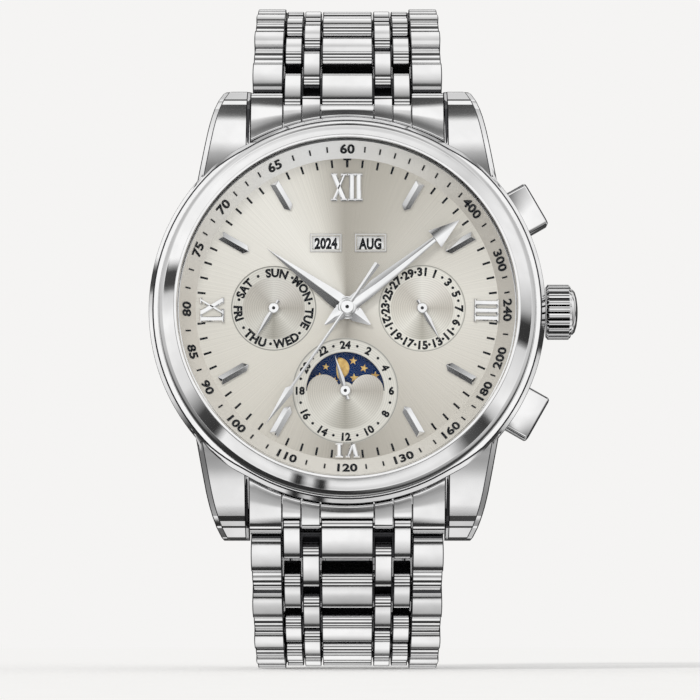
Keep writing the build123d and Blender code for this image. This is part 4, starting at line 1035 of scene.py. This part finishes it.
# Painted shade: the walls of the groove between each pair of flutes take the dark steel.
for number, face in enumerate(faces[ring_faces:3 * ring_faces]):
    if number % len(flute_wave) in (4, 5):
        face.material_index = 1
loft(crown_body, [crown_ring(10.6, stem_radius), crown_ring(21.7, stem_radius)])
crown_piece = mesh_piece("crown_shape", crown_body, [polished, painted_shade_steel], "crown", 0, 40)
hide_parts("crown")
dress(satin, "crown_tube", "setting_lever")


# The pushers. Rounded rectangular caps of polished steel on shafts that run through tubes in the
# case, each pushed out by a spring, set above and below the crown.

pusher_lean = 29.8
shaft_radius, shaft_start, shaft_end = 0.55, 16.4, 21.8
corner_steps = 5
cap_rings = (
    (21.75, 1.15, 1.15, 1.15), (20.85, 1.15, 1.15, 1.15), (20.85, 2.45, 1.25, 0.4), (20.95, 2.62, 1.38, 0.5),
    (23.5, 2.62, 1.38, 0.5), (23.62, 2.58, 1.35, 0.48), (23.75, 2.45, 1.28, 0.4), (23.8, 2.2, 1.05, 0.3))


def rounded_outline(half_wide, half_tall, corner):
    """Corners of a rounded rectangle."""
    points = []
    for quarter, (sx, sy) in enumerate(((1, 1), (-1, 1), (-1, -1), (1, -1))):
        middle_a, middle_b = sx * (half_wide - corner), sy * (half_tall - corner)
        for k in range(corner_steps + 1):
            angle = (quarter + k / corner_steps) * pi / 2
            points.append((middle_a + corner * cos(angle), middle_b + corner * sin(angle)))
    return points


for node, side in (("pusher_upper", 1), ("pusher_lower", -1)):
    body = bmesh.new()
    lean = radians(pusher_lean) * side

    def set_out(along, points):
        return [(*turned_by(lean, along, a), stem_level + b) for a, b in points]
    faces = loft(body, [set_out(along, rounded_outline(*shape)) for along, *shape in cap_rings])
    # Painted shade: a band of the rounding at the cap's end and a thin strip at each corner of its side take
    # the dark steel.
    for number, face in enumerate(faces[:-2]):
        band, corner = divmod(number, 4 * (corner_steps + 1))
        if band == 5 or band == 3 and corner % 6 == 2:
            face.material_index = 1
    shaft = [(shaft_radius * cos(k * pi / 8), shaft_radius * sin(k * pi / 8)) for k in range(16)]
    loft(body, [set_out(shaft_start, shaft), set_out(shaft_end, shaft)])
    cap = mesh_piece(node + "_shape", body, [polished, painted_shade_steel], node, 0, 25)
    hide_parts(node)
dress(satin, "pusher_tubes", "pusher_spring_upper", "pusher_spring_lower")


# The end links and their spring bars. Solid steel blocks milled to the curve of the case, cut into
# columns like the links, and hooked over a spring bar between the lugs.

case_gap_radius = 21.1
end_slope = radians(12.0)
hinge_y, hinge_z = 22.5, 5.2
column_edges = ((0.0, 2.81), (2.99, 4.86), (5.04, 6.91), (7.09, 10.45))
column_ends = (-1.0, 0.815, -1.0, -1.95)
column_hollows = (1.74, 0.0, 1.74, 0.0)
pin_radius, pin_reach = 0.45, 2.95


def end_point(x, y_local, z_local):
    """Place of a point of the end link, whose block slopes down from the case."""
    y = hinge_y + y_local * cos(end_slope) + z_local * sin(end_slope)
    z = hinge_z - y_local * sin(end_slope) + z_local * cos(end_slope)
    return x, y, z


def rounding(start, step_angle, steps, reach_y, reach_z):
    """Quarter round between a wall and a top face, from where it leaves the wall."""
    edge_y, edge_z = start
    angles = [step_angle * k for k in steps]
    return [(edge_y + reach_y * (1 - cos(angle)), edge_z + reach_z * sin(angle)) for angle in angles]


def barrel_arc(radius, middle, start, end, steps=12):
    """Points of a round hinge barrel, seen from the side."""
    angles = [radians(start + (end - start) * k / steps) for k in range(steps + 1)]
    return [(middle + radius * cos(angle), radius * sin(angle)) for angle in angles]


def end_section(near, far, hollow, barrel, low=-1.5, high=1.9):
    """Side view of a column whose far end is rounded, hollow or a barrel, and how many of its walls take the
    dark steel of painted shade.
    """
    if hollow:
        rim = asin((high - 0.2) / hollow)
        section = [(-hollow, low)]
        section += [(-hollow * cos(rim * k / 6), hollow * sin(rim * k / 6)) for k in range(7)]
        edge_y = section[-1][0]
        section += rounding((edge_y, high - 0.2), pi / 6, (1, 2, 3), -0.2, 0.2)
        far = edge_y - 0.1
    elif barrel:
        section = [(0.9, low)] + barrel_arc(barrel, 0.0, -54, 84)
        far = -0.6
    else:
        section = [(far, low), (far, high - 0.6)]
        section += rounding((far, high - 0.6), pi / 12, range(1, 7), -0.55, 0.55)
    walls = 2 if barrel else len(section) - (4 if hollow else 6)
    middle, reach = (near + far) / 2, max((far - near) / 2 - 0.3, 0.2)
    section += [(middle + reach * share, high - 0.06 * share * share) for share in (0.5, 0, -0.5)]
    section += rounding((near, high - 0.35), pi / 8, (4, 3, 2, 1, 0), 0.3, 0.3)
    return section + [(near, low)], walls


def end_column(body, left, right, far, hollow, barrel):
    """Column of the end link, from the case's curve to its far end."""
    rings = []
    for k in range(7):
        x = left + (right - left) * k / 6
        near = (sqrt(case_gap_radius ** 2 - x * x) - hinge_y) / cos(end_slope)
        section, walls = end_section(near, far, hollow, barrel)
        ring = []
        for number, (y, z) in enumerate(section):
            if number >= len(section) - 6:
                y -= z * tan(end_slope)
            ring.append(end_point(x, y, z))
        rings.append(ring)
    faces = loft(body, rings)
    count = len(section)
    # Painted shade: the far end walls, the wall against the case and the sides of each column take the dark
    # steel.
    for number, face in enumerate(faces[:-2]):
        if number % count < walls or number % count == count - 2:
            face.material_index = 1
        elif number % count == count - 1:
            face.material_index = 2
    for end_face in faces[-2:]:
        end_face.material_index = 1


def round_bar(y, z, reach):
    """Two rings of a hinge pin across the bracelet."""
    ring = [(y + pin_radius * cos(k * pi / 8), z + pin_radius * sin(k * pi / 8)) for k in range(16)]
    return [[(x, *point) for point in ring] for x in (-reach, reach)]


tongue = ((-2.6, -3.9), (0.5, -3.9), (0.5, -1.4), (-2.6, -1.4))
bridge_bar = ((-2.4, -1.45), (-1.6, -1.45), (-1.6, -0.3), (-2.4, -0.3))
for node, way in (("end_link_upper", 0), ("end_link_lower", pi)):
    body = bmesh.new()
    for number, (left, right) in enumerate(column_edges):
        ends = (column_ends[number], column_hollows[number], 1.65 if number == 3 else 0.0)
        if number == 0:
            end_column(body, -right, right, *ends)
        else:
            end_column(body, left, right, *ends)
            end_column(body, -right, -left, *ends)
    for tongue_face in loft(body, [[end_point(x, y, z) for y, z in tongue] for x in (-10.4, 10.4)]):
        tongue_face.material_index = 2
    loft(body, [[end_point(x, y, z) for y, z in bridge_bar] for x in (-7.1, 7.1)])
    loft(body, round_bar(hinge_y, hinge_z, pin_reach))
    piece = mesh_piece(node + "_shape", body, [polished, painted_shade_steel, satin], "head", 0.2, 34)
    piece.modifiers["edge"].segments = 3
    piece.modifiers["edge"].material = 0
    if way:
        piece.data.transform(Matrix.Rotation(pi, 4, "Y"))
    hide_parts(node)
dress(satin, "spring_bars")


# The bracelet. Nine solid links on each side, each of seven polished columns in two rows on a low
# web, rounded over the hinge. A pin pressed in each link is the hinge of the next.

pitch = 7.4
row_middles = {"front": pitch / 4, "rear": pitch * 3 / 4}
inner_reach = 7.0
barrel_sides = (7.08, 10.4)
plate_middle, plate_half = 4.4, 4.6
edge_curve = 0.024


def column_section(middle, length=5.33, low=-1.44, top=1.44, near=1.1, far=0.6, dome=0.08):
    """Side view of an inner column: a domed top between a broad near rounding and a smaller far one."""
    half = length / 2
    points = [(middle - half, low), (middle + half, low)]
    points += [(middle + half - far * (1 - cos(k * pi / 12)), top - dome - far * (1 - sin(k * pi / 12)))
               for k in range(7)]
    flat = half - (near + far) / 2
    centre = middle + (near - far) / 2
    points += [(centre + flat * share, top - dome * share * share) for share in (0.66, 0.33, 0, -0.33, -0.66)]
    points += [(middle - half + near * (1 - cos(k * pi / 16)), top - dome - near * (1 - sin(k * pi / 16)))
               for k in range(8, -1, -1)]
    return points


def plate_section():
    """Side view of an edge column's plate, hollow where it meets the barrel of the link before it."""
    points = [(6.1, -1.5), (6.1, 1.1)]
    points += rounding((6.1, 1.1), pi / 8, (1, 2, 3, 4), -0.4, 0.34)
    points += [(3.95 + 1.75 * share, 1.5 - 0.06 * share * share) for share in (0.5, 0, -0.5)]
    points += rounding((1.66, 1.1), pi / 8, (4, 3, 2, 1), 0.35, 0.34)
    points += barrel_arc(1.77, 0.0, 32, -54, 8)
    return points


def bar_across(body, section, left, right, walls=(), under=None):
    """Bar with a side view, with painted shade on its listed walls and inner ends, and a brushed underside
    and outer end.
    """
    left, right = sorted((left, right))
    faces = loft(body, [[(x, y, z) for y, z in section] for x in (left, right)])
    for face in [faces[k] for k in walls] + faces[-2:]:
        face.material_index = 1
    if under is not None:
        faces[under].material_index = 2
    if min(abs(left), abs(right)) > inner_reach:
        faces[-1 if right > 0 else -2].material_index = 2


def link_mesh(with_pin):
    """All columns, the web and the pin of a link, drawn with its first hinge at the origin."""
    body = bmesh.new()
    front, rear = column_section(row_middles["front"]), column_section(row_middles["rear"])
    plate = plate_section()
    barrel = barrel_arc(1.65, pitch, -54, 168, 20) + [(6.0, 0.3), (6.0, -1.5)]
    middle_column, rear_column, front_column, edge_column = column_edges
    walls = (0, 1, len(front) - 1)
    plate_walls = (0, *range(len(plate) - 10, len(plate)))
    bar_across(body, front, -middle_column[1], middle_column[1], walls, 0)
    for side in (1, -1):
        bar_across(body, rear, rear_column[0] * side, rear_column[1] * side, walls, 0)
        bar_across(body, front, front_column[0] * side, front_column[1] * side, walls, 0)
        bar_across(body, plate, edge_column[0] * side, edge_column[1] * side, plate_walls, len(plate) - 1)
        inside, outside = (side * x for x in barrel_sides)
        bar_across(body, barrel, inside, outside, (len(barrel) - 2,), len(barrel) - 1)
    # Painted shade: the web between the two rows takes the dark steel on all faces but its underside, and so
    # do the ends of the pin.
    web = [(1.98, -1.4), (5.42, -1.4), (5.42, -0.45), (5.2, -0.3), (2.2, -0.3), (1.98, -0.45)]
    bar_across(body, web, -7.06, 7.06, range(6), 0)
    if with_pin:
        for pin_end in loft(body, round_bar(pitch, 0.0, pin_reach))[-2:]:
            pin_end.material_index = 1
    bmesh.ops.recalc_face_normals(body, faces=body.faces)
    for corner in body.verts:
        if abs(corner.co.x) > 0.0103:
            share = (corner.co.z * 1000 - plate_middle) / plate_half
            corner.co.x *= 1 - edge_curve * share * share
    mesh = bpy.data.meshes.new("link")
    body.to_mesh(mesh)
    body.free()
    return mesh


link_slopes = [37.0, 54.0, 66.0, 80.0, 95.0, 111.0, 127.0, 145.0, 163.0]
whole_link, bare_link = link_mesh(True), link_mesh(False)
at_y, at_z = hinge_y, hinge_z
for number, slope in enumerate(link_slopes, start=1):
    upper = Matrix.Translation(place(0, at_y, at_z)) @ Matrix.Rotation(-radians(slope), 4, "X")
    for node, turn_over, mesh in (
        ("upper_link_" + str(number), Matrix.Identity(4), whole_link),
        ("lower_link_" + str(number), Matrix.Rotation(pi, 4, "Y"), bare_link if number == 9 else whole_link),
    ):
        piece = bpy.data.objects.new(node + "_shape", mesh)
        scene.collection.objects.link(piece)
        piece.matrix_world = turn_over @ upper
        finish(piece, [polished, painted_shade_steel, satin], 0.11, 32)
        piece.modifiers["edge"].segments = 2
        # Painted shade: the bevels along the edges of every link take the dark steel, as dark lines.
        piece.modifiers["edge"].material = 1
        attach(piece, node)
        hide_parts(node)
    at_y += pitch * cos(radians(slope))
    at_z -= pitch * sin(radians(slope))


# The folding clasp. A cover pressed from steel sheet with two push buttons in its walls, and two
# folding blades below it, all with rounded edges.

for node in (
    "clasp_cover", "clasp_blade_long", "clasp_blade_short", "clasp_button_right", "clasp_button_left",
):
    refined(node, 0.12, satin if node == "clasp_cover" else polished, 35)
